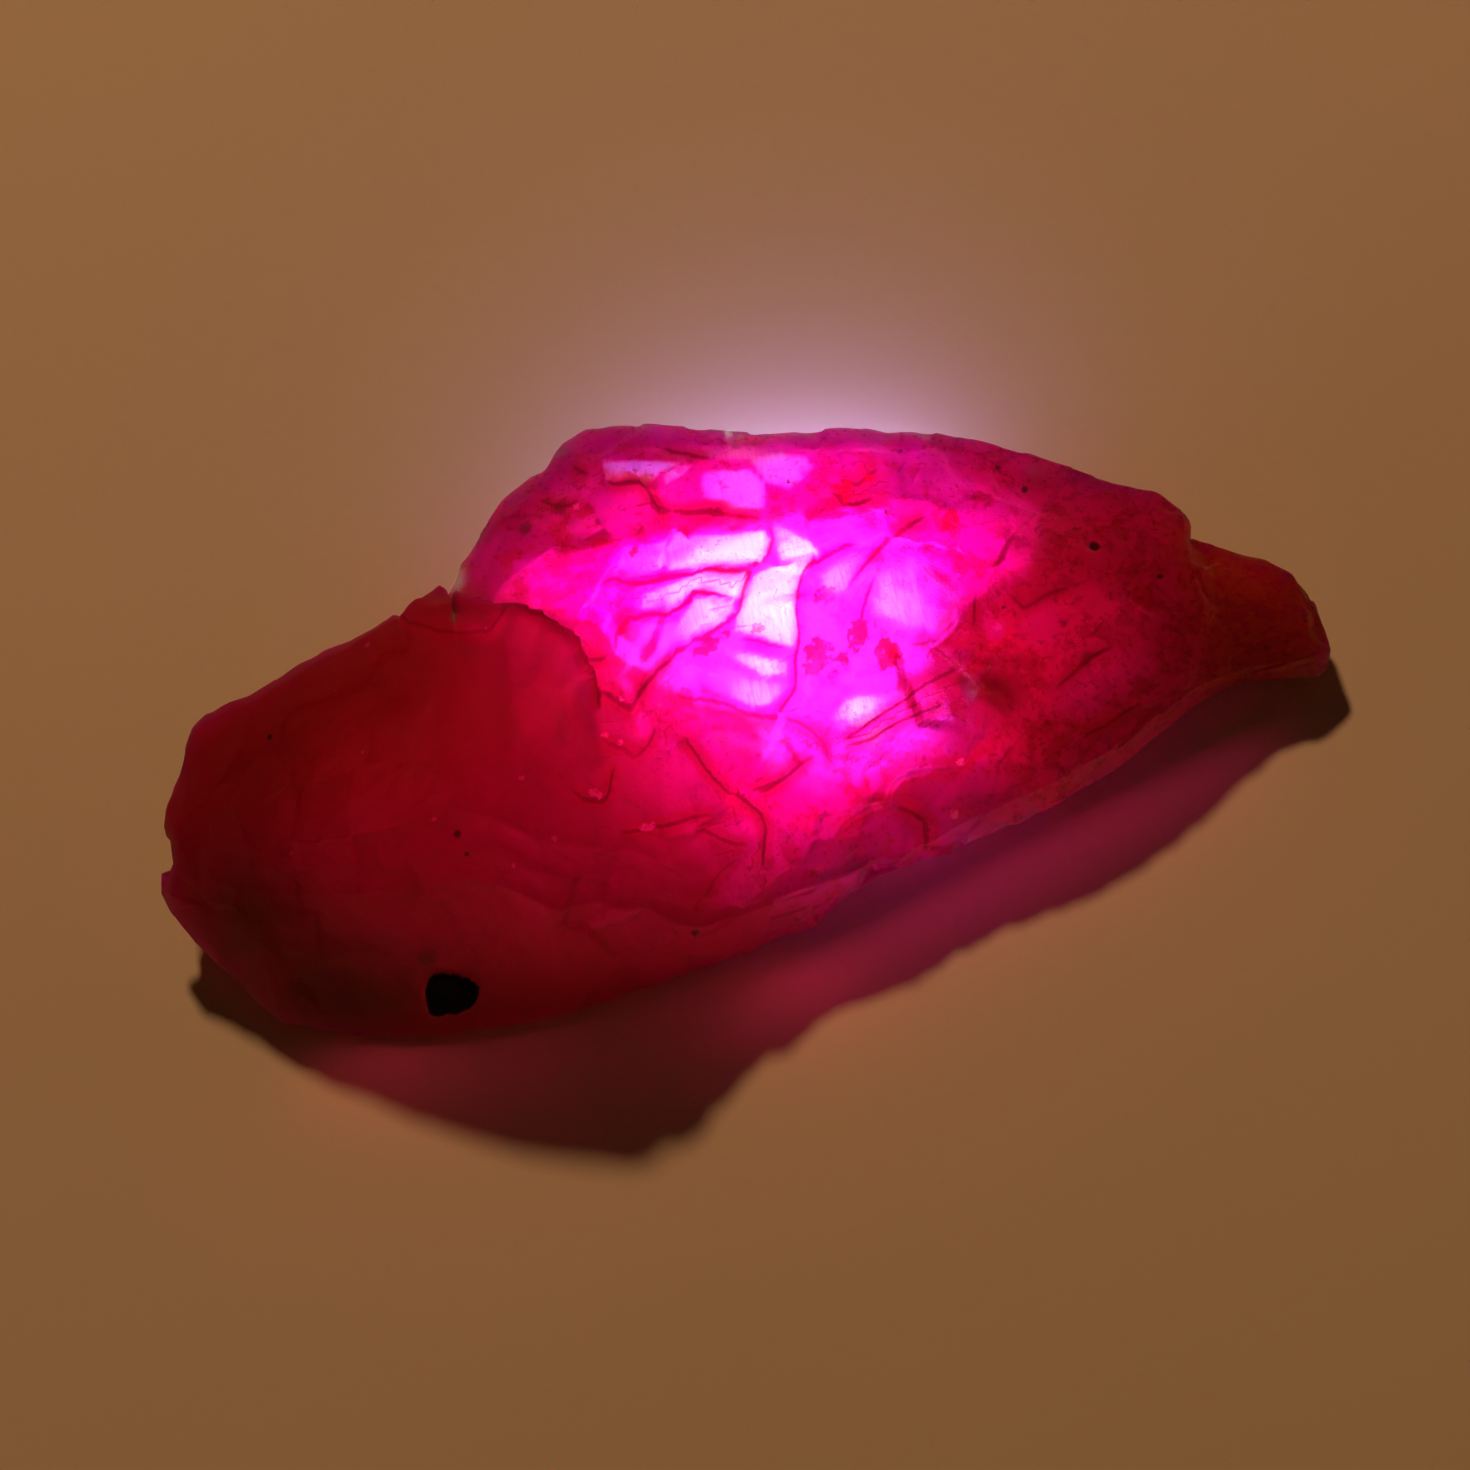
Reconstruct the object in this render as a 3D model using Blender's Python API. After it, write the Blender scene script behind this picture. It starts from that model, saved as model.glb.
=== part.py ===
"""Rough ruby: one broken, translucent lump of corundum about 46 mm long.

The stone is a thick, blunt lobe on the left that runs out into a thinner slab on the right, with a
small tail grown on the slab's end. It is a loft: nine edges run the length of the stone from its
left tip to its right tip, and the skin is stretched between them. Fracture ledges, broken facets,
pits and one raised mineral grain then move the skin in or out along its normal.

X runs along the stone, Y away from the near side, Z up. All lengths below are in millimetres.
"""
import math

import bmesh
import bpy
import numpy as np

MM = 0.001
STONE_NAME = "ruby_stone"

# The visible edges are written as they are seen from the near side, 60 degrees above the ground:
# "seen" is the upward distance in that view, so seen = y * sin(60) + z * cos(60).
VIEW_ELEVATION = math.radians(60.0)

# Fineness of the loft before it is thinned, and the triangles that are kept.
STATIONS_ALONG = 300
POINTS_AROUND = 190
TIP_CROWDING = 0.5
KEPT_TRIANGLES = 9400

# Tips of the stone: station, x, seen, height.
LEFT_TIP = (-22.85, -22.85, -2.0, 2.8)
RIGHT_TIP = (23.3, 23.3, -1.4, 1.8)

# Upper edge on the far side: station along the stone, x, seen, height.
FAR_EDGE = [
    LEFT_TIP,
    (-22.75, -22.72, -1.25, 3.2), (-22.5, -22.3, -1.15, 3.6), (-22.2, -21.85, -0.35, 4.1),
    (-21.95, -22.18, 0.55, 4.2), (-21.7, -22.0, 1.35, 4.3), (-21.3, -21.35, 2.3, 4.5),
    (-21.0, -21.0, 3.3, 4.7), (-20.6, -20.6, 4.1, 4.8), (-20.0, -20.0, 4.55, 4.9),
    (-18.2, -18.2, 4.85, 5.0), (-16.0, -16.0, 5.7, 5.2), (-15.1, -15.1, 6.05, 5.3),
    (-13.9, -13.9, 6.2, 5.5), (-12.1, -12.1, 6.9, 5.8), (-11.8, -11.8, 6.75, 5.8),
    (-11.2, -11.2, 7.2, 5.9), (-10.1, -10.1, 7.65, 6.2), (-9.85, -9.85, 7.2, 5.4),
    (-9.0, -9.0, 8.5, 5.0), (-8.0, -8.0, 9.75, 4.9), (-7.3, -7.3, 10.55, 4.9),
    (-6.0, -6.0, 11.3, 5.0), (-5.4, -5.4, 11.35, 5.0), (-4.4, -4.4, 12.4, 5.1),
    (-3.5, -3.5, 12.7, 5.2), (-2.4, -2.4, 12.65, 5.3), (0.0, 0.0, 12.0, 5.4),
    (3.2, 3.2, 11.25, 5.4), (7.4, 7.4, 10.65, 5.2), (8.1, 8.1, 10.35, 5.1),
    (10.0, 10.0, 9.95, 4.9), (12.1, 12.1, 9.0, 4.6), (14.0, 14.0, 8.05, 4.3),
    (16.0, 16.0, 6.9, 4.0), (18.0, 18.0, 5.85, 3.7), (18.6, 18.75, 5.1, 3.5),
    (18.9, 19.0, 4.4, 3.3), (19.05, 18.85, 3.97, 2.7), (20.4, 20.35, 3.15, 2.6),
    (21.8, 21.7, 2.45, 2.5), (22.5, 22.5, 1.75, 2.4), (22.9, 22.95, 0.9, 2.3),
    (23.1, 23.1, 0.1, 2.2), (23.2, 23.28, -0.7, 2.0),
    RIGHT_TIP,
]

# Ridge where the top turns down into the near flank.
RIDGE = [
    LEFT_TIP,
    (-22.4, -22.3, -1.6, 3.9), (-21.8, -21.6, -1.0, 4.6), (-20.5, -20.3, -0.9, 5.4),
    (-19.0, -19.0, -1.2, 6.1), (-17.0, -17.0, -1.6, 6.9), (-15.0, -15.0, -2.0, 7.7),
    (-13.0, -13.0, -1.9, 8.7), (-11.0, -11.0, -1.8, 9.4), (-9.5, -9.5, -2.6, 9.3),
    (-8.0, -8.0, -4.1, 8.7), (-6.0, -6.0, -4.6, 8.2), (-4.8, -4.8, -5.0, 7.4),
    (-3.6, -3.6, -6.0, 6.0), (-2.7, -2.7, -6.75, 5.0), (-1.0, -1.0, -6.6, 4.4),
    (1.5, 1.5, -6.1, 4.0), (4.0, 4.0, -5.9, 3.7), (6.2, 6.2, -5.5, 3.4),
    (8.0, 8.0, -4.9, 3.4), (12.0, 12.0, -3.9, 3.6), (15.0, 15.0, -2.9, 3.6),
    (17.0, 17.0, -2.0, 3.5), (18.6, 18.6, -1.5, 3.2), (20.0, 20.0, -1.3, 2.8),
    (22.0, 22.0, -1.3, 2.5), (23.0, 22.9, -1.2, 2.2),
    RIGHT_TIP,
]

# Lowest edge of the near flank, which hangs over the ground along the slab.
NEAR_EDGE = [
    LEFT_TIP,
    (-22.6, -22.66, -2.75, 2.4), (-22.2, -22.3, -3.45, 2.1), (-21.6, -21.9, -4.2, 1.7),
    (-21.0, -21.2, -5.2, 1.4), (-20.4, -20.4, -6.15, 1.1), (-19.9, -19.8, -7.1, 0.9),
    (-19.2, -19.2, -7.75, 0.8), (-18.4, -18.4, -8.0, 0.8), (-17.0, -17.0, -8.6, 0.7),
    (-15.0, -15.0, -9.1, 0.6), (-12.9, -12.9, -9.4, 0.6), (-10.5, -10.5, -9.5, 0.6),
    (-8.0, -8.0, -9.4, 0.6), (-5.0, -5.0, -9.1, 0.7), (-1.7, -1.7, -8.6, 0.9),
    (1.9, 1.9, -7.8, 1.3), (3.4, 3.4, -7.0, 1.6), (5.2, 5.2, -6.5, 1.8),
    (8.0, 8.0, -5.97, 2.0), (11.0, 11.0, -5.4, 2.1), (13.1, 13.1, -4.65, 2.1),
    (14.1, 14.1, -4.35, 2.1), (16.2, 16.2, -3.25, 2.0), (17.6, 17.6, -2.5, 1.8),
    (19.0, 19.0, -2.07, 1.4), (20.0, 20.0, -1.97, 1.3), (21.5, 21.5, -2.2, 1.2),
    (22.7, 22.65, -2.3, 1.2), (23.1, 23.05, -2.05, 1.4),
    RIGHT_TIP,
]

# Crowns of the top, between the far edge and the ridge: station, height behind, height in front.
CROWNS = [
    (-22.85, 2.8, 2.8), (-21.8, 4.7, 4.8), (-19.0, 5.7, 6.0), (-15.0, 6.6, 7.3),
    (-11.0, 7.4, 8.7), (-9.0, 7.3, 8.9), (-7.0, 6.8, 8.3), (-5.0, 6.4, 7.6), (-3.0, 6.4, 6.8),
    (-1.0, 6.5, 6.2), (1.0, 6.6, 5.9), (5.0, 6.4, 5.6), (9.0, 6.0, 5.3), (13.0, 5.2, 4.7),
    (17.0, 4.4, 4.1), (18.7, 4.0, 3.8), (19.4, 3.1, 3.2), (21.0, 2.9, 3.0), (22.6, 2.6, 2.6),
    (23.3, 1.8, 1.8),
]
CROWN_PLACES = (0.36, 0.72)
UNDERSIDE_WANDER, WANDER_CELL = 0.035, 2.3

# Underside, as shares of the way from the near edge to the far edge: station, share and height of
# the base's near border, of its far border, and of the lower edge of the far side.
UNDERSIDE = [
    (-22.85, 0.20, 2.8, 0.60, 2.8, 0.95, 2.8), (-21.6, 0.20, 1.5, 0.60, 1.7, 0.95, 2.9),
    (-19.5, 0.16, 0.4, 0.66, 0.6, 0.94, 2.3), (-17.5, 0.13, 0.0, 0.70, 0.0, 0.94, 2.0),
    (-10.0, 0.11, 0.0, 0.72, 0.0, 0.95, 1.8), (-4.0, 0.14, 0.0, 0.72, 0.0, 0.94, 2.0),
    (2.0, 0.20, 0.0, 0.70, 0.0, 0.94, 2.2), (8.0, 0.26, 0.0, 0.68, 0.0, 0.94, 2.3),
    (11.5, 0.28, 0.0, 0.66, 0.0, 0.94, 2.2), (14.5, 0.26, 0.6, 0.68, 0.7, 0.94, 2.1),
    (18.3, 0.24, 1.1, 0.70, 1.2, 0.94, 2.0), (19.4, 0.24, 0.5, 0.72, 0.6, 0.94, 1.3),
    (22.2, 0.24, 0.6, 0.72, 0.6, 0.94, 1.3), (23.3, 0.24, 1.8, 0.72, 1.8, 0.94, 1.8),
]

# Where the nine edges lie around the stone, as shares of the way round from the far edge: two
# crowns, the ridge, the flank's middle, the near edge, the base's borders and the far side's foot.
EDGE_PLACES = (0.0, 0.13, 0.26, 0.38, 0.47, 0.56, 0.62, 0.80, 0.91, 1.0)
RIDGE_PLACE, NEAR_PLACE, BASE_PLACE = EDGE_PLACES[3], EDGE_PLACES[5], EDGE_PLACES[6]
FLANK_BULGE, FLANK_HEIGHT = 0.35, 6.0
ROUNDING, ROUNDED_REACH = 0.05, 0.09
SLOPE_ALONG, SLOPE_AROUND = 0.004, 0.012

# Fracture ledges on the top and the near flank: rise of the side on the left of the line's travel,
# length over which that side sinks back, then the line's points as x, seen.
LEDGES = [
    (1.10, 5.0, [(-4.6, 1.6), (-4.95, 2.7), (-5.1, 3.8), (-5.9, 4.7), (-7.0, 5.5), (-8.0, 5.6),
                 (-9.0, 6.4), (-9.9, 7.3)]),
    (0.18, 1.6, [(-4.1, 6.3), (-4.5, 5.6), (-5.2, 4.4)]),
    (0.13, 1.4, [(-4.1, 6.3), (-2.9, 6.2), (-1.1, 6.05), (1.9, 5.8)]),
    (0.15, 1.5, [(-4.4, 3.7), (-3.1, 4.75), (-1.5, 4.8), (-0.4, 5.2), (1.2, 4.85)]),
    (0.21, 1.8, [(-4.9, 2.6), (-3.6, 1.6), (-2.2, 2.8), (-0.6, 3.5), (0.9, 4.2), (1.8, 5.8),
                 (2.7, 6.5), (2.9, 7.7)]),
    (0.15, 1.5, [(-1.6, 8.7), (0.9, 8.3), (2.9, 7.8)]),
    (0.18, 1.5, [(-2.0, 1.8), (-0.1, 0.8), (1.65, 0.2), (2.7, 1.1), (3.0, 2.6), (3.5, 4.6),
                 (4.4, 5.6), (6.4, 5.9)]),
    (0.15, 1.4, [(5.0, 4.1), (6.8, 5.5), (9.2, 6.9)]),
    (0.18, 1.5, [(6.9, 1.75), (8.4, 2.0), (9.3, 3.0), (9.0, 3.9), (8.2, 5.1)]),
    (0.21, 1.6, [(10.9, -1.4), (9.4, 0.1), (7.9, 1.8)]),
    (0.18, 1.6, [(0.1, -5.6), (0.3, -4.0), (-0.8, -1.9), (-2.2, 0.1)]),
    (0.18, 1.4, [(-6.6, -0.9), (-5.5, -1.6), (-4.4, -0.3)]),
    (0.18, 1.4, [(-4.9, -2.9), (-3.4, -3.2), (-1.1, -2.9)]),
    (0.18, 1.5, [(-2.3, -3.3), (-1.0, -4.4), (-0.2, -4.5)]),
    (0.21, 1.5, [(2.9, -4.6), (4.3, -3.85), (5.4, -3.7), (5.8, -3.0), (8.2, -3.0)]),
    (0.21, 1.3, [(5.5, -3.85), (6.4, -4.8), (6.3, -6.1)]),
    (0.28, 1.8, [(-8.1, 9.7), (-6.0, 9.7), (-4.6, 9.8), (-3.2, 10.5), (-1.7, 10.0), (-0.5, 8.6)]),
]

# Pits in the skin: x, seen, radius, depth. The widest is under the near edge of the slab.
PITS = [
    (4.3, -6.35, 0.55, 0.60), (15.1, 4.4, 0.35, 0.30), (13.0, 7.2, 0.30, 0.25),
    (-10.9, -1.9, 0.35, 0.30), (-17.4, -1.2, 0.40, 0.25), (9.6, -0.2, 0.45, 0.40),
]

# Black mineral grain grown into the near flank: centre, and radii at equal turns from +X.
GRAIN_CENTRE = (-12.6, -7.7)
GRAIN_RADII = (1.10, 0.80, 0.75, 0.85, 0.90, 0.95, 0.90, 0.85, 0.70, 0.85)
GRAIN_RISE, GRAIN_BORDER = 0.32, 0.12

# Broken facets: how many, how far they stand in or out, how far they lean and over what reach.
FACET_ROWS, FACET_COLUMNS, FACET_SEED = 12, 24, 7
FACET_LIFT, FACET_LEAN, LEAN_REACH = 0.15, 0.09, 2.5

# The facets are calmer on the massive left lobe, up to where the slab starts, on the smooth right
# part of the slab, and along the two outlines. They are stronger on the hidden sides.
CALM_LOBE, CALM_RIGHT, CALM_EDGE, HIDDEN_SIDES = 0.22, 0.50, 0.40, 1.20
LOBE_END, SLAB_START = -9.0, -3.0
BLOCKS_END, RIGHT_START = 8.0, 12.0
CALM_REACH, HIDDEN_QUICKNESS = 0.04, 3.0

# Raggedness: how far facet borders and marks wander, and the grit on the whole skin.
WARP_CELL, WARP_REACH = 2.1, 0.55
RAGGED_CELL, RAGGED_REACH = 1.3, 0.18
GRIT_CELL, GRIT_HEIGHT = 0.9, 0.07
LATTICE = 32

# The ruby's colour, the dullness of its broken faces and corundum's index of refraction.
RUBY_COLOUR = (0.52, 0.015, 0.10, 1.0)
ROUGHNESS, REFRACTION = 0.42, 1.77

# Where the relief fades out: at the ends of a ledge, along the outlines, on the base and the tips.
END_TAPER = 1.2
SIGHT_FAR, SIGHT_NEAR_OUT, SIGHT_NEAR_IN = 0.03, 0.01, 0.02
BASE_FADE, TIP_FADE = 0.9, 0.012


def clear_scene():
    """Remove every object, so that the script can be run again."""
    for item in list(bpy.data.objects):
        bpy.data.objects.remove(item, do_unlink=True)


def smooth_step(low, high, value):
    """Zero below low, one above high, and an S-shaped rise between them."""
    share = np.clip((value - low) / (high - low), 0.0, 1.0)
    return share * share * (3.0 - 2.0 * share)


def seen_up(points):
    """Upward distance of each point in the view from 60 degrees above the near side."""
    return points[..., 1] * math.sin(VIEW_ELEVATION) + points[..., 2] * math.cos(VIEW_ELEVATION)


def visible_edge(rows, station):
    """Points of an edge that is written by station, x, seen and height."""
    table = np.array(rows)
    x, seen, z = (np.interp(station, table[:, 0], table[:, column]) for column in (1, 2, 3))
    y = (seen - z * math.cos(VIEW_ELEVATION)) / math.sin(VIEW_ELEVATION)
    return np.stack([x, y, z], axis=-1)


def edge_between(start, end, share, height):
    """Points at a share of the way between two edges in plan, at a height of their own."""
    share = np.broadcast_to(share, start.shape[:-1])[..., None]
    points = start * (1.0 - share) + end * share
    points[..., 2] = height
    return points


def edges_at(station):
    """The nine edges of the loft, in order round the stone, with the first one again at the end."""
    far = visible_edge(FAR_EDGE, station)
    ridge = visible_edge(RIDGE, station)
    near = visible_edge(NEAR_EDGE, station)
    crowns = np.array(CROWNS)
    under = np.array(UNDERSIDE)
    crown_edges = [
        edge_between(far, ridge, place, np.interp(station, crowns[:, 0], crowns[:, column]))
        for place, column in zip(CROWN_PLACES, (1, 2))
    ]
    line = np.stack([station, np.zeros_like(station), np.zeros_like(station)], axis=-1)
    under_edges = [
        edge_between(near, far,
                     np.interp(station, under[:, 0], under[:, column])
                     + UNDERSIDE_WANDER * lattice_noise(line, WANDER_CELL, 10 + column),
                     np.interp(station, under[:, 0], under[:, column + 1]))
        for column in (1, 3, 5)
    ]
    flank = 0.5 * (ridge + near)
    steepness = (ridge[..., 2] - near[..., 2]) / FLANK_HEIGHT
    flank[..., 1] -= FLANK_BULGE * np.clip(steepness, 0.0, 1.0)
    return [far, *crown_edges, ridge, flank, near, *under_edges, far]


def loft(along, around):
    """Skin of the stone: each point lies between two neighbouring edges at its station."""
    station = LEFT_TIP[0] + (RIGHT_TIP[0] - LEFT_TIP[0]) * along
    edges = np.stack(edges_at(station), axis=0)
    around = around % 1.0
    places = np.array(EDGE_PLACES)
    span = np.clip(np.searchsorted(places, around, side="right") - 1, 0, len(places) - 2)
    share = ((around - places[span]) / (places[span + 1] - places[span]))[..., None]
    first = np.take_along_axis(edges, span[None, ..., None], axis=0)[0]
    second = np.take_along_axis(edges, span[None, ..., None] + 1, axis=0)[0]
    return first * (1.0 - share) + second * share


def rounded_loft(along, around):
    """The loft with the ridge rounded off: the mean of three places, widest apart on the ridge."""
    reach = ROUNDING * smooth_step(ROUNDED_REACH, 0.0, np.abs(around - RIDGE_PLACE))
    return (loft(along, around) + loft(along, around - reach) + loft(along, around + reach)) / 3.0


def loft_normals(along, around):
    """Outward unit normals of the loft, from its slopes along and around the stone."""
    ahead = loft(np.clip(along + SLOPE_ALONG, 0.0, 1.0), around)
    behind = loft(np.clip(along - SLOPE_ALONG, 0.0, 1.0), around)
    slope_around = loft(along, around + SLOPE_AROUND) - loft(along, around - SLOPE_AROUND)
    normal = np.cross(slope_around, ahead - behind)
    return normal / np.maximum(np.linalg.norm(normal, axis=-1, keepdims=True), 1e-9)


def lattice_noise(points, cell, seed):
    """Smooth random values from -1 to 1, blended between the corners of a lattice of cubes."""
    table = np.random.default_rng(seed).uniform(-1.0, 1.0, (LATTICE, LATTICE, LATTICE))
    scaled = points / cell
    corner_low = np.floor(scaled).astype(int)
    share = scaled - corner_low
    share = share * share * (3.0 - 2.0 * share)
    total = np.zeros(points.shape[:-1])
    for corner in np.ndindex(2, 2, 2):
        index = (corner_low + corner) % LATTICE
        weight = np.where(np.array(corner), share, 1.0 - share).prod(axis=-1)
        total += weight * table[index[..., 0], index[..., 1], index[..., 2]]
    return total


def warped(points):
    """The points moved a little by noise, so that straight borders in a pattern turn ragged."""
    shift = [lattice_noise(points, WARP_CELL, seed) for seed in (1, 2, 3)]
    return points + WARP_REACH * np.stack(shift, axis=-1)


def facet_strength(points, around):
    """How strongly the facets show: calm on the lobe, the right part and the outlines."""
    lobe = CALM_LOBE + (1.0 - CALM_LOBE) * smooth_step(LOBE_END, SLAB_START, points[..., 0])
    right = 1.0 - (1.0 - CALM_RIGHT) * smooth_step(BLOCKS_END, RIGHT_START, points[..., 0])
    visible = smooth_step(BASE_PLACE, NEAR_PLACE, around)
    from_far = np.minimum(around, HIDDEN_QUICKNESS * (1.0 - around))
    from_near = np.maximum(NEAR_PLACE - around, HIDDEN_QUICKNESS * (around - NEAR_PLACE))
    calm = smooth_step(CALM_REACH, 0.1 * CALM_REACH, np.minimum(from_far, from_near))
    edge = 1.0 - (1.0 - CALM_EDGE) * calm
    return (lobe * right * visible + HIDDEN_SIDES * (1.0 - visible)) * edge


def facet_relief(points, around):
    """Flat broken facets: each point takes the lift and lean of the nearest facet centre."""
    rng = np.random.default_rng(FACET_SEED)
    column, row = np.meshgrid(np.arange(FACET_COLUMNS), np.arange(FACET_ROWS))
    count = FACET_ROWS * FACET_COLUMNS
    centre_along = (column.ravel() + rng.uniform(0.1, 0.9, count)) / FACET_COLUMNS
    centre_around = (row.ravel() + rng.uniform(0.1, 0.9, count)) / FACET_ROWS
    centres = loft(centre_along, centre_around)
    lift = rng.uniform(-1.0, 1.0, count)
    lean = rng.normal(0.0, 1.0, (count, 3))
    place = warped(points)
    distance = (centres ** 2).sum(axis=-1) - 2.0 * place @ centres.T
    nearest = distance.argmin(axis=-1)
    tilt = ((points - centres[nearest]) * lean[nearest]).sum(axis=-1)
    height = FACET_LIFT * lift[nearest] + FACET_LEAN * np.clip(tilt, -LEAN_REACH, LEAN_REACH)
    return facet_strength(points, around) * height


def line_distance(flat, line):
    """Signed distance to a broken line, positive on the left of its travel; the distance to its
    nearer end; and a share that is one beside the line and turns to zero straight ahead of it."""
    line = np.array(line)
    start, leg = line[:-1], np.diff(line, axis=0)
    length = np.hypot(leg[:, 0], leg[:, 1])
    offset = flat[..., None, :] - start
    share = np.clip((offset * leg).sum(axis=-1) / length ** 2, 0.0, 1.0)
    gap = np.linalg.norm(offset - share[..., None] * leg, axis=-1)
    across = (leg[:, 0] * offset[..., 1] - leg[:, 1] * offset[..., 0]) / length
    travelled = np.concatenate([[0.0], np.cumsum(length)[:-1]]) + share * length
    nearest = gap.argmin(axis=-1)[..., None]
    gap, across, travelled = (
        np.take_along_axis(values, nearest, axis=-1)[..., 0] for values in (gap, across, travelled)
    )
    past = (travelled <= 0.0) | (travelled >= travelled.max())
    beside = np.where(past, np.abs(across) / np.maximum(gap, 1e-9), 1.0)
    from_end = np.minimum(*(np.linalg.norm(flat - line[end], axis=-1) for end in (0, -1)))
    return np.sign(across) * gap, from_end, beside


def ledge_relief(flat):
    """Fracture ledges: a sharp step at each line, which sinks back over its fade length."""
    relief = np.zeros(flat.shape[:-1])
    for rise, fade, line in LEDGES:
        gap, from_end, beside = line_distance(flat, line)
        taper = smooth_step(0.0, END_TAPER, from_end) * beside
        relief += rise * taper * np.where(gap > 0.0, np.exp(-np.abs(gap) / fade), 0.0)
    return relief


def pit_relief(flat):
    """Round pits with soft rims."""
    relief = np.zeros(flat.shape[:-1])
    for x, seen, radius, depth in PITS:
        reach = np.hypot(flat[..., 0] - x, flat[..., 1] - seen) / radius
        relief -= depth * np.exp(-reach ** 2)
    return relief


def grain_relief(flat):
    """The black grain: a low plateau with an angular border."""
    across, up = flat[..., 0] - GRAIN_CENTRE[0], flat[..., 1] - GRAIN_CENTRE[1]
    turn = np.arctan2(up, across) % (2.0 * math.pi)
    turns = np.linspace(0.0, 2.0 * math.pi, len(GRAIN_RADII) + 1)
    radius = np.interp(turn, turns, [*GRAIN_RADII, GRAIN_RADII[0]])
    return GRAIN_RISE * smooth_step(GRAIN_BORDER, -GRAIN_BORDER, np.hypot(across, up) - radius)


def relief(points, along, around):
    """How far the skin stands out from the loft, in millimetres."""
    flat = np.stack([points[..., 0], seen_up(points)], axis=-1)
    wander = [lattice_noise(points, RAGGED_CELL, seed) for seed in (4, 5)]
    ragged = flat + RAGGED_REACH * np.stack(wander, axis=-1)
    from_far = smooth_step(0.0, SIGHT_FAR, around)
    from_near = smooth_step(NEAR_PLACE + SIGHT_NEAR_OUT, NEAR_PLACE - SIGHT_NEAR_IN, around)
    marks = ledge_relief(ragged) + pit_relief(flat) + grain_relief(ragged)
    grit = GRIT_HEIGHT * lattice_noise(points, GRIT_CELL, 6)
    total = facet_relief(points, around) + from_far * from_near * marks + grit
    off_base = smooth_step(0.0, BASE_FADE, points[..., 2])
    off_tips = smooth_step(0.0, TIP_FADE, along) * smooth_step(1.0, 1.0 - TIP_FADE, along)
    return total * off_base * off_tips


def stone_points():
    """Points of the finished skin on a grid of rings, and the two tips."""
    inner = np.linspace(0.0, 1.0, STATIONS_ALONG + 1)[1:-1]
    inner = inner - TIP_CROWDING * np.sin(2.0 * math.pi * inner) / (2.0 * math.pi)
    ring = np.arange(POINTS_AROUND) / POINTS_AROUND
    along, around = np.meshgrid(inner, ring, indexing="ij")
    points = rounded_loft(along, around)
    points += relief(points, along, around)[..., None] * loft_normals(along, around)
    points[..., 2] = np.maximum(points[..., 2], 0.0)
    tips = loft(np.array([0.0, 1.0]), np.zeros(2))
    return points, tips


def stone_mesh():
    """One closed mesh: quads between the rings, and a fan of triangles at each tip."""
    points, tips = stone_points()
    rings, sides = points.shape[:2]
    mesh = bmesh.new()
    grid = [[mesh.verts.new(point * MM) for point in ring] for ring in points]
    left, right = (mesh.verts.new(tip * MM) for tip in tips)
    for lower, upper in zip(grid, grid[1:]):
        for side in range(sides):
            following = (side + 1) % sides
            mesh.faces.new((lower[side], upper[side], upper[following], lower[following]))
    for side in range(sides):
        following = (side + 1) % sides
        mesh.faces.new((left, grid[0][side], grid[0][following]))
        mesh.faces.new((right, grid[-1][following], grid[-1][side]))
    bmesh.ops.recalc_face_normals(mesh, faces=mesh.faces)
    return mesh


def centre_on_base(mesh):
    """Move the mesh so that the middle of its box stands over the origin, with its foot at zero."""
    corners = np.array([vertex.co for vertex in mesh.verts])
    low, high = corners.min(axis=0), corners.max(axis=0)
    middle = 0.5 * (low + high)
    bmesh.ops.translate(mesh, verts=mesh.verts, vec=(-middle[0], -middle[1], -low[2]))


def ruby_material():
    """Deep pink corundum with the dull gloss of a broken face."""
    material = bpy.data.materials.new("ruby")
    material.use_nodes = True
    shader = material.node_tree.nodes["Principled BSDF"]
    shader.inputs["Base Color"].default_value = RUBY_COLOUR
    shader.inputs["Roughness"].default_value = ROUGHNESS
    shader.inputs["Metallic"].default_value = 0.0
    shader.inputs["IOR"].default_value = REFRACTION
    material.diffuse_color = RUBY_COLOUR
    return material


def build_stone(collection):
    """The stone: a fine loft, thinned to the triangles that its facets and ledges need."""
    mesh = stone_mesh()
    centre_on_base(mesh)
    bmesh.ops.triangulate(mesh, faces=mesh.faces)
    fine_triangles = len(mesh.faces)
    data = bpy.data.meshes.new(STONE_NAME)
    mesh.to_mesh(data)
    mesh.free()
    data.materials.append(ruby_material())
    stone = bpy.data.objects.new(STONE_NAME, data)
    collection.objects.link(stone)
    thin = stone.modifiers.new("thin", "DECIMATE")
    thin.decimate_type = "COLLAPSE"
    thin.ratio = KEPT_TRIANGLES / fine_triangles
    thin.use_collapse_triangulate = True
    return stone


def main():
    """Build the rough ruby in a collection of its own."""
    clear_scene()
    collection = bpy.data.collections.new("rough_ruby")
    bpy.context.scene.collection.children.link(collection)
    build_stone(collection)


main()
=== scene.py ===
# %% [markdown]
# # A rough ruby, lit from below
# The object is one broken lump of translucent red corundum, about 46 mm long. The packed CAD solid
# fixes its size and place. This lesson makes a much finer skin on the same named edges, gives it a
# stone material that lets light through, and sets it on a pale floor under a dim warm lamp, with
# lamps under it that shine up into its flat base.

# %% Load the frame
import math

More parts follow.
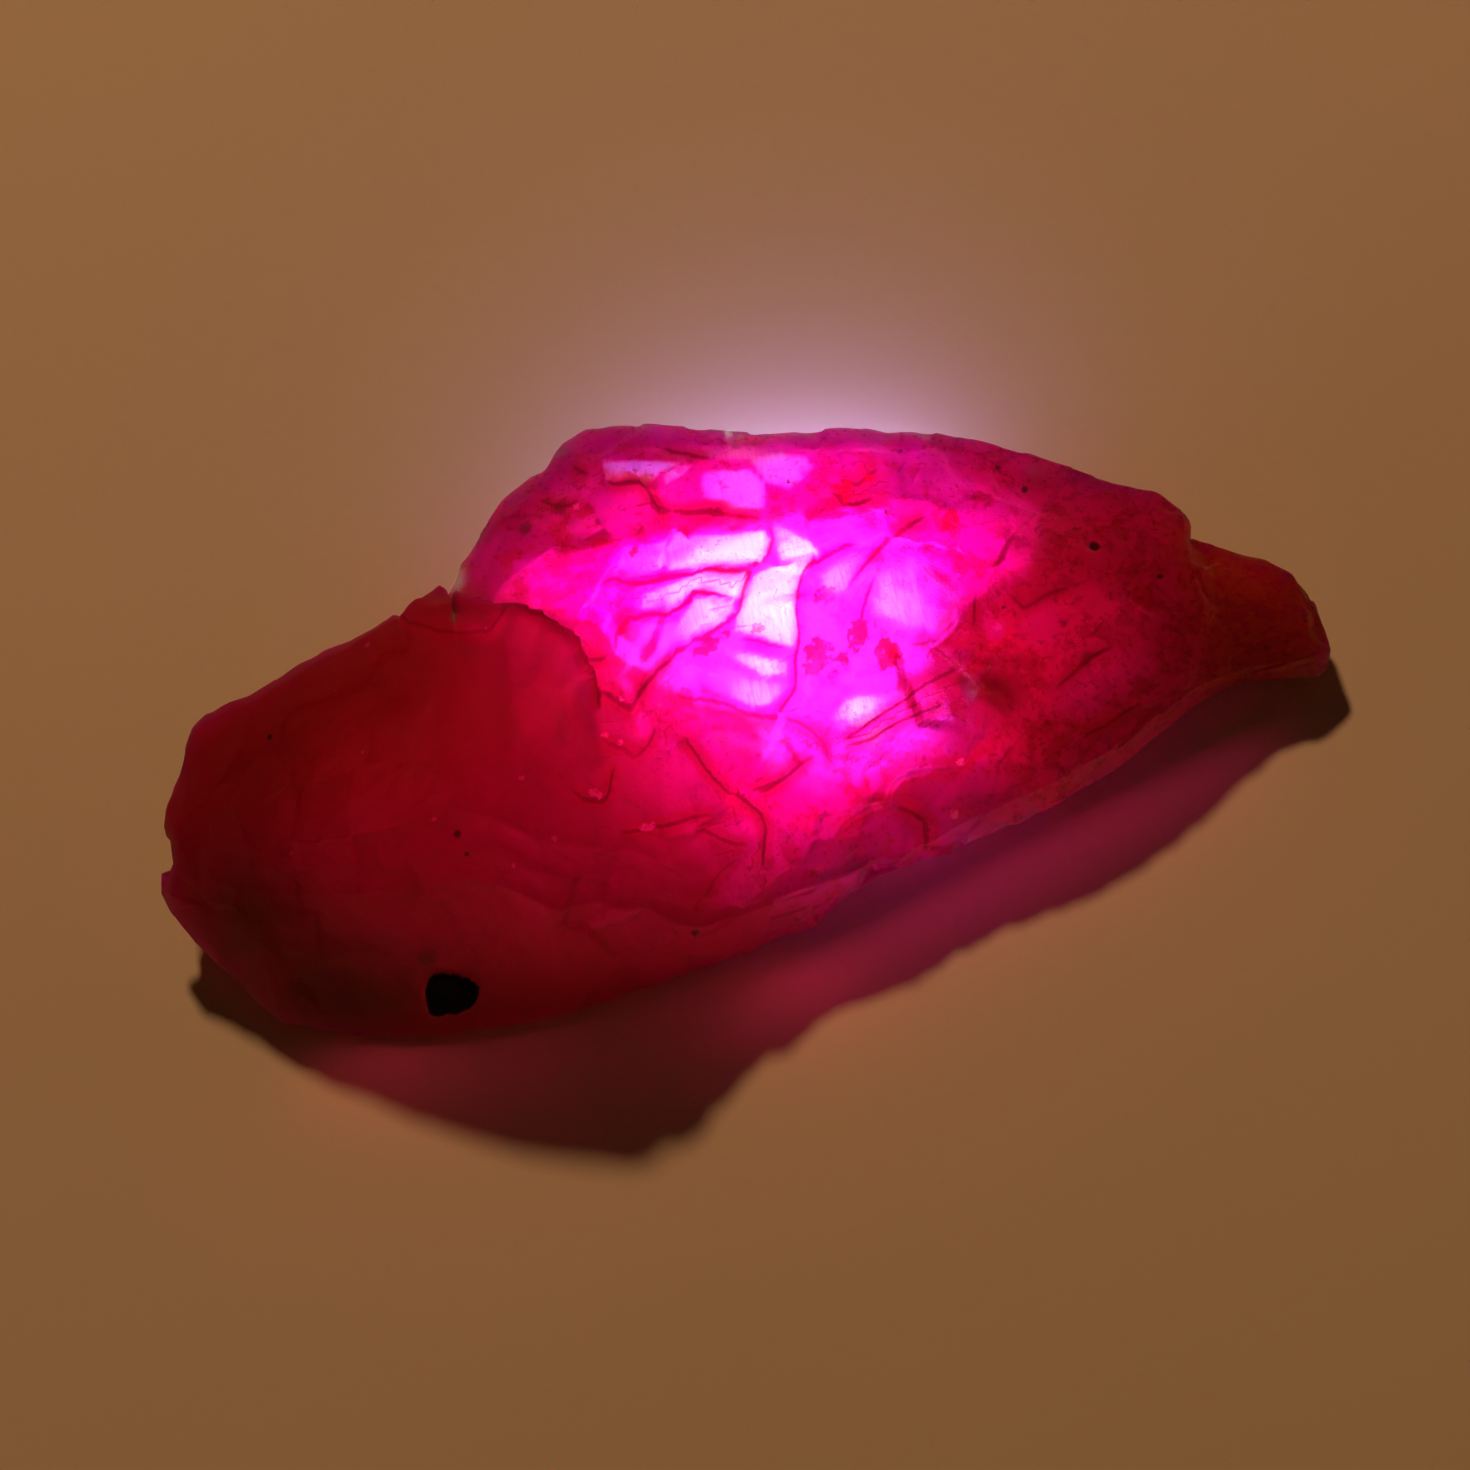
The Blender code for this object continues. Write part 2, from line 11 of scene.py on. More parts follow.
import bpy
import numpy as np
from mathutils import Matrix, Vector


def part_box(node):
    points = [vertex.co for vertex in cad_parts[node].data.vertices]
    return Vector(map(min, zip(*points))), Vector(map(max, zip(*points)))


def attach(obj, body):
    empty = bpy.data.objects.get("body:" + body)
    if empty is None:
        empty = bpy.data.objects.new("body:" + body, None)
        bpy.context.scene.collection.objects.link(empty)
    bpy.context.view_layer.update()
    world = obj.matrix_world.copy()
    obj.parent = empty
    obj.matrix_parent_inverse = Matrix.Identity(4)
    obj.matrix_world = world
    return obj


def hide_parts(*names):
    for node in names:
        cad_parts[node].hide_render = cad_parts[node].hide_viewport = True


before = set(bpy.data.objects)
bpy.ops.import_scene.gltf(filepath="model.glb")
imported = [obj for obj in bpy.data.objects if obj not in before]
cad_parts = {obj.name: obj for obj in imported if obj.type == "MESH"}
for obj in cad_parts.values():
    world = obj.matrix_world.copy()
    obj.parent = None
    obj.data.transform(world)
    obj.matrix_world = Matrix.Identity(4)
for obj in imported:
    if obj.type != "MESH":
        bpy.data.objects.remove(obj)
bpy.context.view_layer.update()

# %% [markdown]
# ## How the edges are written
# A broken stone has no straight edges to measure, so its edges are read as they look from the near
# side, 60 degrees above the floor. Each row gives x, the upward distance in that view ("seen") and
# a height. The depth follows from seen = y * sin(60) + z * cos(60). Everything is in millimetres
# until the mesh is written.

# %% The view that the edges are written in
MM = 0.001
VIEW_ELEVATION = math.radians(60.0)
SINE, COSINE = math.sin(VIEW_ELEVATION), math.cos(VIEW_ELEVATION)


def seen_up(points):
    """Upward distance in the view from 60 degrees above: y * sin(60) + z * cos(60)."""
    return points[..., 1] * SINE + points[..., 2] * COSINE


print("one mm of depth counts", round(SINE, 3), "and one mm of height", round(COSINE, 3))

# %% [markdown]
# ## The three edges that can be seen
# The far edge is the silhouette against the floor, with the notch where the thick left lobe meets
# the slab and the step where the small tail starts. The ridge is where the top turns down to the
# viewer. The near edge is the lowest line of that flank. They could be curves, but tables of x,
# seen and height are easier to check against the stone. A fourth number in front is the station,
# where it isn't x: the stations have to rise, also where an edge doubles back.

# %% Far edge
LEFT_TIP, RIGHT_TIP = (-22.85, -2.0, 2.8), (23.3, -1.4, 1.8)
LENGTH = RIGHT_TIP[0] - LEFT_TIP[0]
FAR_EDGE = [
    LEFT_TIP, (-22.75, -22.72, -1.25, 3.2), (-22.5, -22.3, -1.15, 3.6), (-22.2, -21.85, -0.35, 4.1),
    (-21.95, -22.18, 0.55, 4.2), (-21.7, -22.0, 1.35, 4.3), (-21.3, -21.35, 2.3, 4.5),
    (-21.0, 3.3, 4.7), (-20.6, 4.1, 4.8), (-20.0, 4.55, 4.9), (-18.2, 4.85, 5.0), (-16.0, 5.7, 5.2),
    (-15.1, 6.05, 5.3), (-13.9, 6.2, 5.5), (-12.1, 6.9, 5.8), (-11.8, 6.75, 5.8), (-11.2, 7.2, 5.9),
    (-10.1, 7.65, 6.2), (-9.85, 7.2, 6.0), (-9.0, 8.5, 5.5), (-8.0, 9.75, 5.1), (-7.3, 10.55, 4.9),
    (-6.0, 11.3, 5.0), (-5.4, 11.35, 5.0), (-4.4, 12.4, 5.1), (-3.5, 12.7, 5.2), (-2.4, 12.65, 5.3),
    (0.0, 12.0, 5.4), (3.2, 11.25, 5.4), (7.4, 10.65, 5.2), (8.1, 10.35, 5.1), (10.0, 9.95, 4.9),
    (12.1, 9.0, 4.6), (14.0, 8.05, 4.3), (16.0, 6.9, 4.0), (18.0, 5.85, 3.7), (18.6, 18.75, 5.1, 3.5),
    (18.9, 19.0, 4.4, 3.3), (19.05, 18.85, 3.97, 2.7), (20.4, 20.35, 3.15, 2.6),
    (21.8, 21.7, 2.45, 2.5), (22.5, 1.75, 2.4), (22.9, 22.95, 0.9, 2.3), (23.1, 0.1, 2.2),
    (23.2, 23.28, -0.7, 2.0), RIGHT_TIP,
]
print("far edge:", len(FAR_EDGE), "rows")

# %% Ridge and near edge
RIDGE = [
    LEFT_TIP, (-22.4, -22.3, -1.6, 3.9), (-21.8, -21.6, -1.0, 4.6), (-20.5, -20.3, -0.9, 5.4),
    (-19.0, -1.2, 6.1), (-17.0, -1.6, 6.9), (-15.0, -2.0, 7.7), (-13.0, -1.9, 8.7), (-11.0, -1.8, 9.4),
    (-9.5, -2.6, 9.3), (-8.0, -4.1, 8.7), (-6.0, -4.6, 8.2), (-4.8, -5.0, 7.4), (-3.6, -6.0, 6.0),
    (-2.7, -6.75, 5.0), (-1.0, -6.6, 4.4), (1.5, -6.1, 4.0), (4.0, -5.9, 3.7), (6.2, -5.5, 3.4),
    (8.0, -4.9, 3.4), (12.0, -3.9, 3.6), (15.0, -2.9, 3.6), (17.0, -2.0, 3.5), (18.6, -1.5, 3.2),
    (20.0, -1.3, 2.8), (22.0, -1.3, 2.5), (23.0, 22.9, -1.2, 2.2), RIGHT_TIP,
]
NEAR_EDGE = [
    LEFT_TIP, (-22.6, -22.66, -2.75, 2.4), (-22.2, -22.3, -3.45, 2.1), (-21.6, -21.9, -4.2, 1.7),
    (-21.0, -21.2, -5.2, 1.4), (-20.4, -6.15, 1.1), (-19.9, -19.8, -7.1, 0.9), (-19.2, -7.75, 0.8),
    (-18.4, -8.0, 0.8), (-17.0, -8.6, 0.7), (-15.0, -9.1, 0.6), (-12.9, -9.4, 0.6), (-10.5, -9.5, 0.6),
    (-8.0, -9.4, 0.6), (-5.0, -9.1, 0.7), (-1.7, -8.6, 0.9), (1.9, -7.8, 1.3), (3.4, -7.0, 1.6),
    (5.2, -6.5, 1.8), (8.0, -5.97, 2.0), (11.0, -5.4, 2.1), (13.1, -4.65, 2.1), (14.1, -4.35, 2.1),
    (16.2, -3.25, 2.0), (17.6, -2.5, 1.8), (19.0, -2.07, 1.4), (20.0, -1.97, 1.3), (21.5, -2.2, 1.2),
    (22.7, 22.65, -2.3, 1.2), (23.1, 23.05, -2.05, 1.4), RIGHT_TIP,
]
print("ridge:", len(RIDGE), "rows, near edge:", len(NEAR_EDGE), "rows")

# %% [markdown]
# ## The edges that are worked out from those
# Two crowns carry the bulge of the top between the far edge and the ridge. Three more edges make
# the underside: the near and far borders of the flat base that the stone rests on, and the foot of
# the far side. Each is a share of the way between two visible edges, with a height of its own.

# %% Crowns and underside
CROWNS = [
    (-22.85, 2.8, 2.8), (-21.8, 4.7, 4.8), (-19.0, 5.7, 6.0), (-15.0, 6.6, 7.3), (-11.0, 7.4, 8.7),
    (-9.0, 7.3, 8.9), (-7.0, 6.8, 8.3), (-5.0, 6.4, 7.6), (-3.0, 6.4, 6.8), (-1.0, 6.5, 6.2),
    (1.0, 6.6, 5.9), (5.0, 6.4, 5.6), (9.0, 6.0, 5.3), (13.0, 5.2, 4.7), (17.0, 4.4, 4.1),
    (18.7, 4.0, 3.8), (19.4, 3.1, 3.2), (21.0, 2.9, 3.0), (22.6, 2.6, 2.6), (23.3, 1.8, 1.8),
]
CROWN_PLACES = (0.36, 0.72)
UNDERSIDE = [
    (-22.85, 0.20, 2.8, 0.60, 2.8, 0.95, 2.8), (-21.6, 0.20, 1.5, 0.60, 1.7, 0.95, 2.9),
    (-19.5, 0.16, 0.4, 0.66, 0.6, 0.94, 2.3), (-17.5, 0.13, 0.0, 0.70, 0.0, 0.94, 2.0),
    (-10.0, 0.11, 0.0, 0.72, 0.0, 0.95, 1.8), (-4.0, 0.14, 0.0, 0.72, 0.0, 0.94, 2.0),
    (2.0, 0.20, 0.0, 0.70, 0.0, 0.94, 2.2), (8.0, 0.26, 0.0, 0.68, 0.0, 0.94, 2.3),
    (11.5, 0.28, 0.0, 0.66, 0.0, 0.94, 2.2), (14.5, 0.26, 0.6, 0.68, 0.7, 0.94, 2.1),
    (18.3, 0.24, 1.1, 0.70, 1.2, 0.94, 2.0), (19.4, 0.24, 0.5, 0.72, 0.6, 0.94, 1.3),
    (22.2, 0.24, 0.6, 0.72, 0.6, 0.94, 1.3), (23.3, 0.24, 1.8, 0.72, 1.8, 0.94, 1.8),
]
CALM_STEP, CALM_SHARES = 1.5, (-1.0, -0.5, 0.0, 0.5, 1.0)
WANDER, WANDER_CELL, WANDER_SEED = 0.035, 2.3, 10
FLANK_BULGE, TALL_FLANK = 0.35, 6.0
EDGE_PLACES = np.array((0.0, 0.13, 0.26, 0.38, 0.47, 0.56, 0.62, 0.80, 0.91, 1.0))
NEAR_PLACE, BASE_PLACE = EDGE_PLACES[5], EDGE_PLACES[6]
print("nine edges round the stone at", EDGE_PLACES[:-1])

# %% [markdown]
# ## Noise without a texture
# Broken stone needs randomness that is the same on every run. Random values stand on the corners
# of a lattice of cubes and are blended in between with an S-curve, worked out for all points at
# once.

# %% Lattice noise
LATTICE = 32


def smooth_step(low, high, value):
    """Zero at low, one at high, and 3s² - 2s³ between them."""
    share = np.clip((value - low) / (high - low), 0.0, 1.0)
    return share * share * (3.0 - 2.0 * share)


def lattice_noise(points, cell, seed):
    """Random corner values from -1 to 1, blended by the S-curve of the place inside each cube."""
    table = np.random.default_rng(seed).uniform(-1.0, 1.0, (LATTICE, LATTICE, LATTICE))
    scaled = points / cell
    corner_low = np.floor(scaled).astype(int)
    share = smooth_step(0.0, 1.0, scaled - corner_low)
    total = np.zeros(points.shape[:-1])
    for corner in np.ndindex(2, 2, 2):
        index = (corner_low + corner) % LATTICE
        weight = np.where(np.array(corner), share, 1.0 - share).prod(axis=-1)
        total += weight * table[index[..., 0], index[..., 1], index[..., 2]]
    return total


def noise_vectors(points, cell, seeds):
    """One lattice noise for each seed, as the parts of one vector at each point."""
    return np.stack([lattice_noise(points, cell, seed) for seed in seeds], axis=-1)


sample = lattice_noise(np.random.default_rng(0).uniform(0.0, 50.0, (1000, 3)), 2.0, 1)
print("noise runs from", round(sample.min(), 2), "to", round(sample.max(), 2))

# %% [markdown]
# ## The skin as a function of two parameters
# `along` runs from the left tip to the right tip and `around` runs once round the stone. A loft
# between edges suits a lump like this better than a sculpted ball, because every silhouette point
# is a number that can be corrected.

# %% Loft between the edges
def visible_edge(rows, station):
    """x, seen and height read from a table; y = (seen - z * cos(60)) / sin(60)."""
    table = np.array([(row[0], *row[-3:]) for row in rows])
    x, seen, z = (np.interp(station, table[:, 0], table[:, column]) for column in (1, 2, 3))
    return np.stack([x, (seen - z * COSINE) / SINE, z], axis=-1)


def column_at(rows, station, column):
    """One column of a table, straight between its rows."""
    table = np.array(rows)
    return np.interp(station, table[:, 0], table[:, column])


def edge_between(start, end, share, height):
    """(1 - share) * start + share * end in plan, at a height of its own."""
    share = np.broadcast_to(share, start.shape[:-1])[..., None]
    points = start * (1.0 - share) + end * share
    points[..., 2] = height
    return points


def calm_far_edge(station):
    """Mean of the far edge at five stations up to CALM_STEP away, less far towards the tips."""
    from_tips = np.minimum(station - LEFT_TIP[0], RIGHT_TIP[0] - station)
    step = CALM_STEP * smooth_step(0.0, 2.0 * CALM_STEP, from_tips)
    return np.mean([visible_edge(FAR_EDGE, station + share * step) for share in CALM_SHARES], axis=0)


def edges_at(station):
    """The nine edges in order round the stone, with the first one again at the end."""
    far, ridge, near = (visible_edge(rows, station) for rows in (FAR_EDGE, RIDGE, NEAR_EDGE))
    calm = calm_far_edge(station)
    crown_edges = [
        edge_between(calm, ridge, place, column_at(CROWNS, station, column))
        for place, column in zip(CROWN_PLACES, (1, 2))
    ]
    line = np.stack([station, np.zeros_like(station), np.zeros_like(station)], axis=-1)
    under_edges = [
        edge_between(near, far,
                     column_at(UNDERSIDE, station, column)
                     + WANDER * lattice_noise(line, WANDER_CELL, WANDER_SEED + column),
                     column_at(UNDERSIDE, station, column + 1))
        for column in (1, 3, 5)
    ]
    flank = 0.5 * (ridge + near)
    flank[..., 1] -= FLANK_BULGE * np.clip((ridge[..., 2] - near[..., 2]) / TALL_FLANK, 0.0, 1.0)
    return [far, *crown_edges, ridge, flank, near, *under_edges, far]


def loft(along, around):
    """Straight blend between the two edges on either side of `around`, at the station of `along`."""
    station = LEFT_TIP[0] + LENGTH * along
    edges = np.stack(edges_at(station), axis=0)
    around = around % 1.0
    span = np.clip(np.searchsorted(EDGE_PLACES, around, side="right") - 1, 0, len(EDGE_PLACES) - 2)
    share = ((around - EDGE_PLACES[span]) / (EDGE_PLACES[span + 1] - EDGE_PLACES[span]))[..., None]
    first = np.take_along_axis(edges, span[None, ..., None], axis=0)[0]
    second = np.take_along_axis(edges, span[None, ..., None] + 1, axis=0)[0]
    return first * (1.0 - share) + second * share


RIDGE_PLACE, ROUNDING, ROUNDED_REACH = EDGE_PLACES[3], 0.05, 0.09


def rounded_loft(along, around):
    """Mean of the loft at `around` and a little to both sides of it, widest apart on the ridge."""
    reach = ROUNDING * smooth_step(ROUNDED_REACH, 0.0, np.abs(around % 1.0 - RIDGE_PLACE))
    return (loft(along, around) + loft(along, around - reach) + loft(along, around + reach)) / 3.0


STEP_ALONG, STEP_AROUND = 0.004, 0.012


def loft_normals(along, around):
    """Cross product of the slope round the stone and the slope along it, made one unit long."""
    ahead = loft(np.clip(along + STEP_ALONG, 0.0, 1.0), around)
    behind = loft(np.clip(along - STEP_ALONG, 0.0, 1.0), around)
    slope_around = loft(along, around + STEP_AROUND) - loft(along, around - STEP_AROUND)
    normal = np.cross(slope_around, ahead - behind)
    return normal / np.maximum(np.linalg.norm(normal, axis=-1, keepdims=True), 1e-9)


# %% The grid of points
RINGS, SIDES = 400, 245
TIP_CROWDING = 0.5
SIDES_IN_SIGHT = 0.64
inner = np.linspace(0.0, 1.0, RINGS + 2)[1:-1]
inner = inner - TIP_CROWDING * np.sin(2.0 * math.pi * inner) / (2.0 * math.pi)
turn = np.arange(SIDES) / SIDES
ring = np.interp(turn, (0.0, SIDES_IN_SIGHT, 1.0), (0.0, 0.5, 1.0))
ALONG, AROUND = np.meshgrid(inner, ring, indexing="ij")
SMOOTH_SKIN = rounded_loft(ALONG, AROUND)
SKIN_NORMALS = loft_normals(ALONG, AROUND)
FLAT = np.stack([SMOOTH_SKIN[..., 0], seen_up(SMOOTH_SKIN)], axis=-1)
print("grid of", ALONG.size, "points, about", round(LENGTH / RINGS, 3), "mm apart along the stone")

# %% [markdown]
# ## Fracture lines
# The slab is cut by curved parting cracks into blocks 2 to 5 mm across. Where a crack meets the
# skin it leaves a low ledge and a dark line of trapped dirt. Beside it lies a painted shade that
# fades away from the line: darker on the side that lies over the crack and lighter on the other,
# for the light through the stone that changes across a crack. The ledges could be painted, but a
# real step catches light from every side. Each row gives the rise of the side on the left of the
# line's travel, the length over which it sinks back, the darkness of the line, the painted shade
# (positive darkens the left side), and the points as x, seen.

# %% Lines of the slab
CRACKS = [
    (1.10, 5.0, 0.9, 0.7, [(-4.9, 1.5), (-4.8, 2.6), (-4.95, 3.1), (-5.1, 3.7), (-5.2, 4.2),
        (-5.6, 4.5), (-6.1, 4.9), (-6.6, 5.3), (-7.3, 5.57), (-8.0, 5.6), (-9.0, 6.4), (-9.9, 7.3)]),
    (0.18, 1.6, 0.3, -0.6, [(-4.1, 6.3), (-4.45, 5.7), (-5.1, 4.86), (-5.27, 4.3)]),
    (0.13, 1.4, 0.8, 0.3, [(-4.1, 6.3), (-3.4, 6.5), (-2.9, 6.2), (-2.0, 6.1), (-1.1, 6.05),
        (1.0, 5.86), (2.0, 5.8)]),
    (0.15, 1.5, 0.8, -0.3, [(-4.0, 3.9), (-3.1, 4.77), (-2.4, 4.86), (-1.55, 4.77), (-0.6, 5.05),
        (-0.45, 5.27), (0.0, 5.14), (1.15, 4.85)]),
    (0.03, 1.0, 0.6, 0.5, [(-4.0, 4.05), (-3.45, 4.3), (-2.9, 4.55)]),
    (0.06, 1.0, 0.8, 0.6, [(-5.1, 3.7), (-4.45, 3.7), (-4.0, 4.0)]),
    (0.21, 1.8, 0.7, 0.5, [(-4.9, 2.6), (-4.1, 1.86), (-3.6, 1.6), (-3.0, 2.1), (-2.2, 2.8),
        (-1.5, 3.4), (-0.6, 3.5), (0.0, 3.7), (0.7, 4.1), (1.1, 4.5), (1.45, 5.3), (1.8, 5.8),
        (2.35, 6.0), (2.8, 6.9), (2.9, 7.7)]),
    (0.15, 1.4, 0.6, 0.5, [(5.0, 4.1), (5.6, 4.6), (6.2, 5.1), (6.8, 5.5), (7.9, 6.3), (9.2, 6.9)]),
    (0.07, 0.9, 1.0, 0.3, [(5.7, 8.7), (6.5, 8.4), (7.1, 8.7), (7.6, 8.8)]),
    (0.07, 0.9, 1.0, -0.3, [(5.2, 8.2), (5.7, 8.0), (6.4, 7.75), (7.2, 7.8)]),
    (0.05, 0.9, 0.6, 0.3, [(5.1, 7.2), (6.0, 7.7)]),
    (0.15, 1.5, 0.7, -0.3, [(-1.6, 8.7), (0.0, 8.5), (0.9, 8.3), (1.7, 8.0), (2.9, 7.8)]),
    (0.09, 1.2, 0.6, 0.3, [(0.7, 3.3), (1.57, 3.1), (2.1, 2.9), (2.8, 2.6)]),
    (0.18, 1.5, 0.7, 0.5, [(-2.0, 1.8), (-1.1, 1.3), (-0.1, 0.8), (0.5, 0.43), (1.1, 0.3), (1.65, 0.2),
        (2.0, 0.5), (2.6, 1.0), (2.87, 1.7), (2.96, 2.57), (3.04, 3.17), (3.2, 3.9), (3.5, 4.65),
        (3.8, 5.35), (4.4, 5.6), (5.6, 5.96), (6.4, 5.9)]),
    (0.09, 1.0, 0.7, 0.3, [(5.3, 2.6), (5.57, 3.35), (6.0, 3.9), (6.4, 4.5), (6.6, 4.8)]),
    (0.18, 1.5, 0.6, 0.5, [(6.9, 1.75), (7.9, 1.8), (8.4, 2.0), (9.0, 2.5), (9.3, 3.0), (9.0, 3.9),
        (8.5, 4.4), (8.2, 5.1)]),
    (0.21, 1.6, 0.9, -0.6, [(10.9, -1.4), (10.4, -0.8), (9.9, -0.3), (9.4, 0.1), (8.8, 0.7),
        (8.35, 1.3), (7.9, 1.8)]),
    (0.12, 1.2, 0.6, 0.4, [(1.74, 0.13), (2.3, -0.25), (2.8, -0.74), (3.2, -1.3), (3.3, -1.95),
        (3.7, -2.4)]),
    (0.06, 0.9, 0.7, 0.3, [(0.1, -2.55), (0.8, -2.5), (1.4, -2.2), (2.1, -1.9), (2.9, -1.65)]),
    (0.21, 1.5, 0.5, -0.6, [(2.9, -4.6), (3.6, -4.1), (4.3, -3.85), (5.3, -3.8), (5.5, -3.2),
        (5.8, -3.0), (7.0, -2.95), (8.2, -3.0)]),
    (0.21, 1.3, 1.0, 0.6, [(5.5, -3.85), (6.0, -4.2), (6.4, -4.8), (6.4, -5.4), (6.3, -6.1)]),
    (0.18, 1.5, 0.9, 0.8, [(0.1, -5.6), (0.1, -4.9), (0.35, -4.0), (0.2, -3.4), (-0.3, -2.8),
        (-0.8, -1.9), (-1.64, -0.64), (-2.2, 0.1)]),
    (0.18, 1.5, 0.8, 0.5, [(-2.3, -3.3), (-1.6, -4.0), (-1.0, -4.4), (-0.2, -4.5)]),
    (0.15, 1.4, 0.5, 0.5, [(-5.1, 0.95), (-4.7, 0.4), (-4.2, 0.0), (-3.9, -0.4), (-3.3, 0.0),
        (-2.9, 0.6)]),
    (0.18, 1.4, 0.6, 0.5, [(-6.6, -0.9), (-6.1, -1.45), (-5.5, -1.6), (-5.1, -1.3), (-4.4, -0.3)]),
    (0.18, 1.4, 0.7, 0.5, [(-4.9, -2.9), (-4.3, -3.15), (-3.4, -3.2), (-2.2, -3.0), (-1.1, -2.9)]),
    (0.09, 1.2, 0.4, 0.4, [(-2.6, -6.9), (-2.7, -6.3), (-2.0, -5.9), (-1.5, -5.3), (-0.7, -4.95)]),
    (0.12, 1.8, 0.3, 0.4, [(-8.0, 9.7), (-7.0, 9.75), (-6.0, 9.7), (-5.3, 9.4)]),
    (0.09, 1.0, 0.6, 0.4, [(-6.0, 10.4), (-5.2, 9.9), (-4.6, 9.8), (-4.0, 10.0)]),
    (0.06, 0.8, 0.6, 0.4, [(-4.6, 11.5), (-4.2, 11.1), (-3.5, 10.8)]),
    (0.15, 1.4, 0.7, 0.5, [(-3.2, 10.5), (-2.5, 10.1), (-1.7, 10.0), (-1.5, 9.4), (-1.3, 8.9),
        (-0.5, 8.5)]),
    (0.07, 1.0, 0.6, 0.3, [(-1.0, 11.5), (-0.4, 11.1), (0.4, 10.8), (1.3, 10.35)]),
    (0.06, 1.0, 0.3, 0.5, [(-1.6, 8.0), (-1.5, 7.0), (-1.3, 6.3)]),
    (0.07, 1.0, 0.6, 0.4, [(10.2, 3.6), (9.9, 2.4), (9.7, 1.9)]),
    (0.04, 0.8, 0.5, 0.2, [(-12.0, 6.82), (-11.3, 5.93), (-10.2, 5.22), (-9.5, 4.95), (-8.66, 4.79),
        (-8.08, 5.18), (-7.63, 5.59), (-6.14, 4.86), (-5.14, 4.23)]),
    (0.04, 0.6, 0.8, 0.4, [(3.73, -1.38), (5.22, -0.79), (7.55, 0.25), (8.99, 0.6)]),
    (0.04, 0.6, 0.7, 0.3, [(3.81, -1.64), (6.04, -1.08), (8.4, -0.53)]),
    (0.03, 0.5, 0.6, 0.3, [(-0.23, -2.48), (0.8, -2.31), (1.6, -2.09), (2.82, -1.57)]),
    (0.12, 1.2, 0.5, 0.5, [(12.1, -1.0), (12.9, -0.5), (13.75, 0.0), (15.3, 0.35)]),
    (0.08, 1.0, 0.4, 0.4, [(11.1, 3.4), (11.7, 2.5), (13.3, 2.9), (14.0, 3.0)]),
    (0.10, 1.2, 0.5, 0.5, [(15.6, -1.9), (14.1, -2.5), (12.8, -3.1)]),
]
print(len(CRACKS), "fracture lines")

# %% Signed distance to a line
def line_distance(flat, line):
    """Signed distance to the nearest leg, positive on the left of travel; distance to the nearer
    end; and a share that is one beside the line and turns to zero straight ahead of its ends."""
    line = np.array(line)
    start, leg = line[:-1], np.diff(line, axis=0)
    length = np.hypot(leg[:, 0], leg[:, 1])
    offset = flat[..., None, :] - start
    share = np.clip((offset * leg).sum(axis=-1) / length ** 2, 0.0, 1.0)
    gap = np.linalg.norm(offset - share[..., None] * leg, axis=-1)
    across = (leg[:, 0] * offset[..., 1] - leg[:, 1] * offset[..., 0]) / length
    travelled = np.concatenate([[0.0], np.cumsum(length)[:-1]]) + share * length
    nearest = gap.argmin(axis=-1)[..., None]
    gap, across, travelled = (
        np.take_along_axis(values, nearest, axis=-1)[..., 0] for values in (gap, across, travelled)
    )
    past = (travelled <= 0.0) | (travelled >= travelled.max())
    beside = np.where(past, np.abs(across) / np.maximum(gap, 1e-9), 1.0)
    from_end = np.minimum(*(np.linalg.norm(flat - line[end], axis=-1) for end in (0, -1)))
    return np.sign(across) * gap, from_end, beside


# %% Ledges, grooves and shades of all lines
GROOVE_WIDTH, GROOVE_DEPTH = 0.13, 0.05
END_TAPER = 1.2
SHADE_REACH, DARK_REACH = 0.9, 0.75
FAR_AWAY = 9.0
RAGGED_REACH, RAGGED_CELL = 0.18, 1.3


def fracture_fields(flat):
    """Sum over the lines of rise * exp(-gap / fade) on the left side and a groove on the line;
    with it the nearest line's signed distance and darkness, and the sum of the painted shades."""
    relief, shade = np.zeros(flat.shape[:-1]), np.zeros(flat.shape[:-1])
    nearest, darkness = np.full(flat.shape[:-1], FAR_AWAY), np.zeros(flat.shape[:-1])
    for rise, fade, dark, shading, line in CRACKS:
        gap, from_end, beside = line_distance(flat, line)
        taper = smooth_step(0.0, END_TAPER, from_end) * beside
        size = np.abs(gap)
        relief += rise * taper * np.where(gap > 0.0, np.exp(-size / fade), 0.0)
        relief -= GROOVE_DEPTH * dark * taper * np.exp(-(size / GROOVE_WIDTH) ** 2)
        shade += shading * taper * np.sign(gap) * np.exp(-size / SHADE_REACH)
        closer = size < np.abs(nearest)
        nearest = np.where(closer, gap, nearest)
        darkness = np.where(closer, dark * smooth_step(0.0, 0.5 * END_TAPER, from_end), darkness)
    return relief, shade, nearest, darkness * smooth_step(DARK_REACH, 0.6 * DARK_REACH, np.abs(nearest))


RAGGED = FLAT + RAGGED_REACH * noise_vectors(SMOOTH_SKIN, RAGGED_CELL, (4, 5))
fracture_relief, fracture_painted_shade, fracture_gap, fracture_darkness = fracture_fields(RAGGED)
print("ledges rise up to", round(fracture_relief.max(), 2), "mm")

# %% [markdown]
# ## Broken facets
# Corundum has no cleavage: it breaks in uneven flats that lean a little against each other. The
# same large facets are in the CAD solid. Each point takes the lift and lean of the nearest of 288
# centres. A second level, about a millimetre across, is worked out in the cells of a jittered
# lattice, which needs no list of centres.

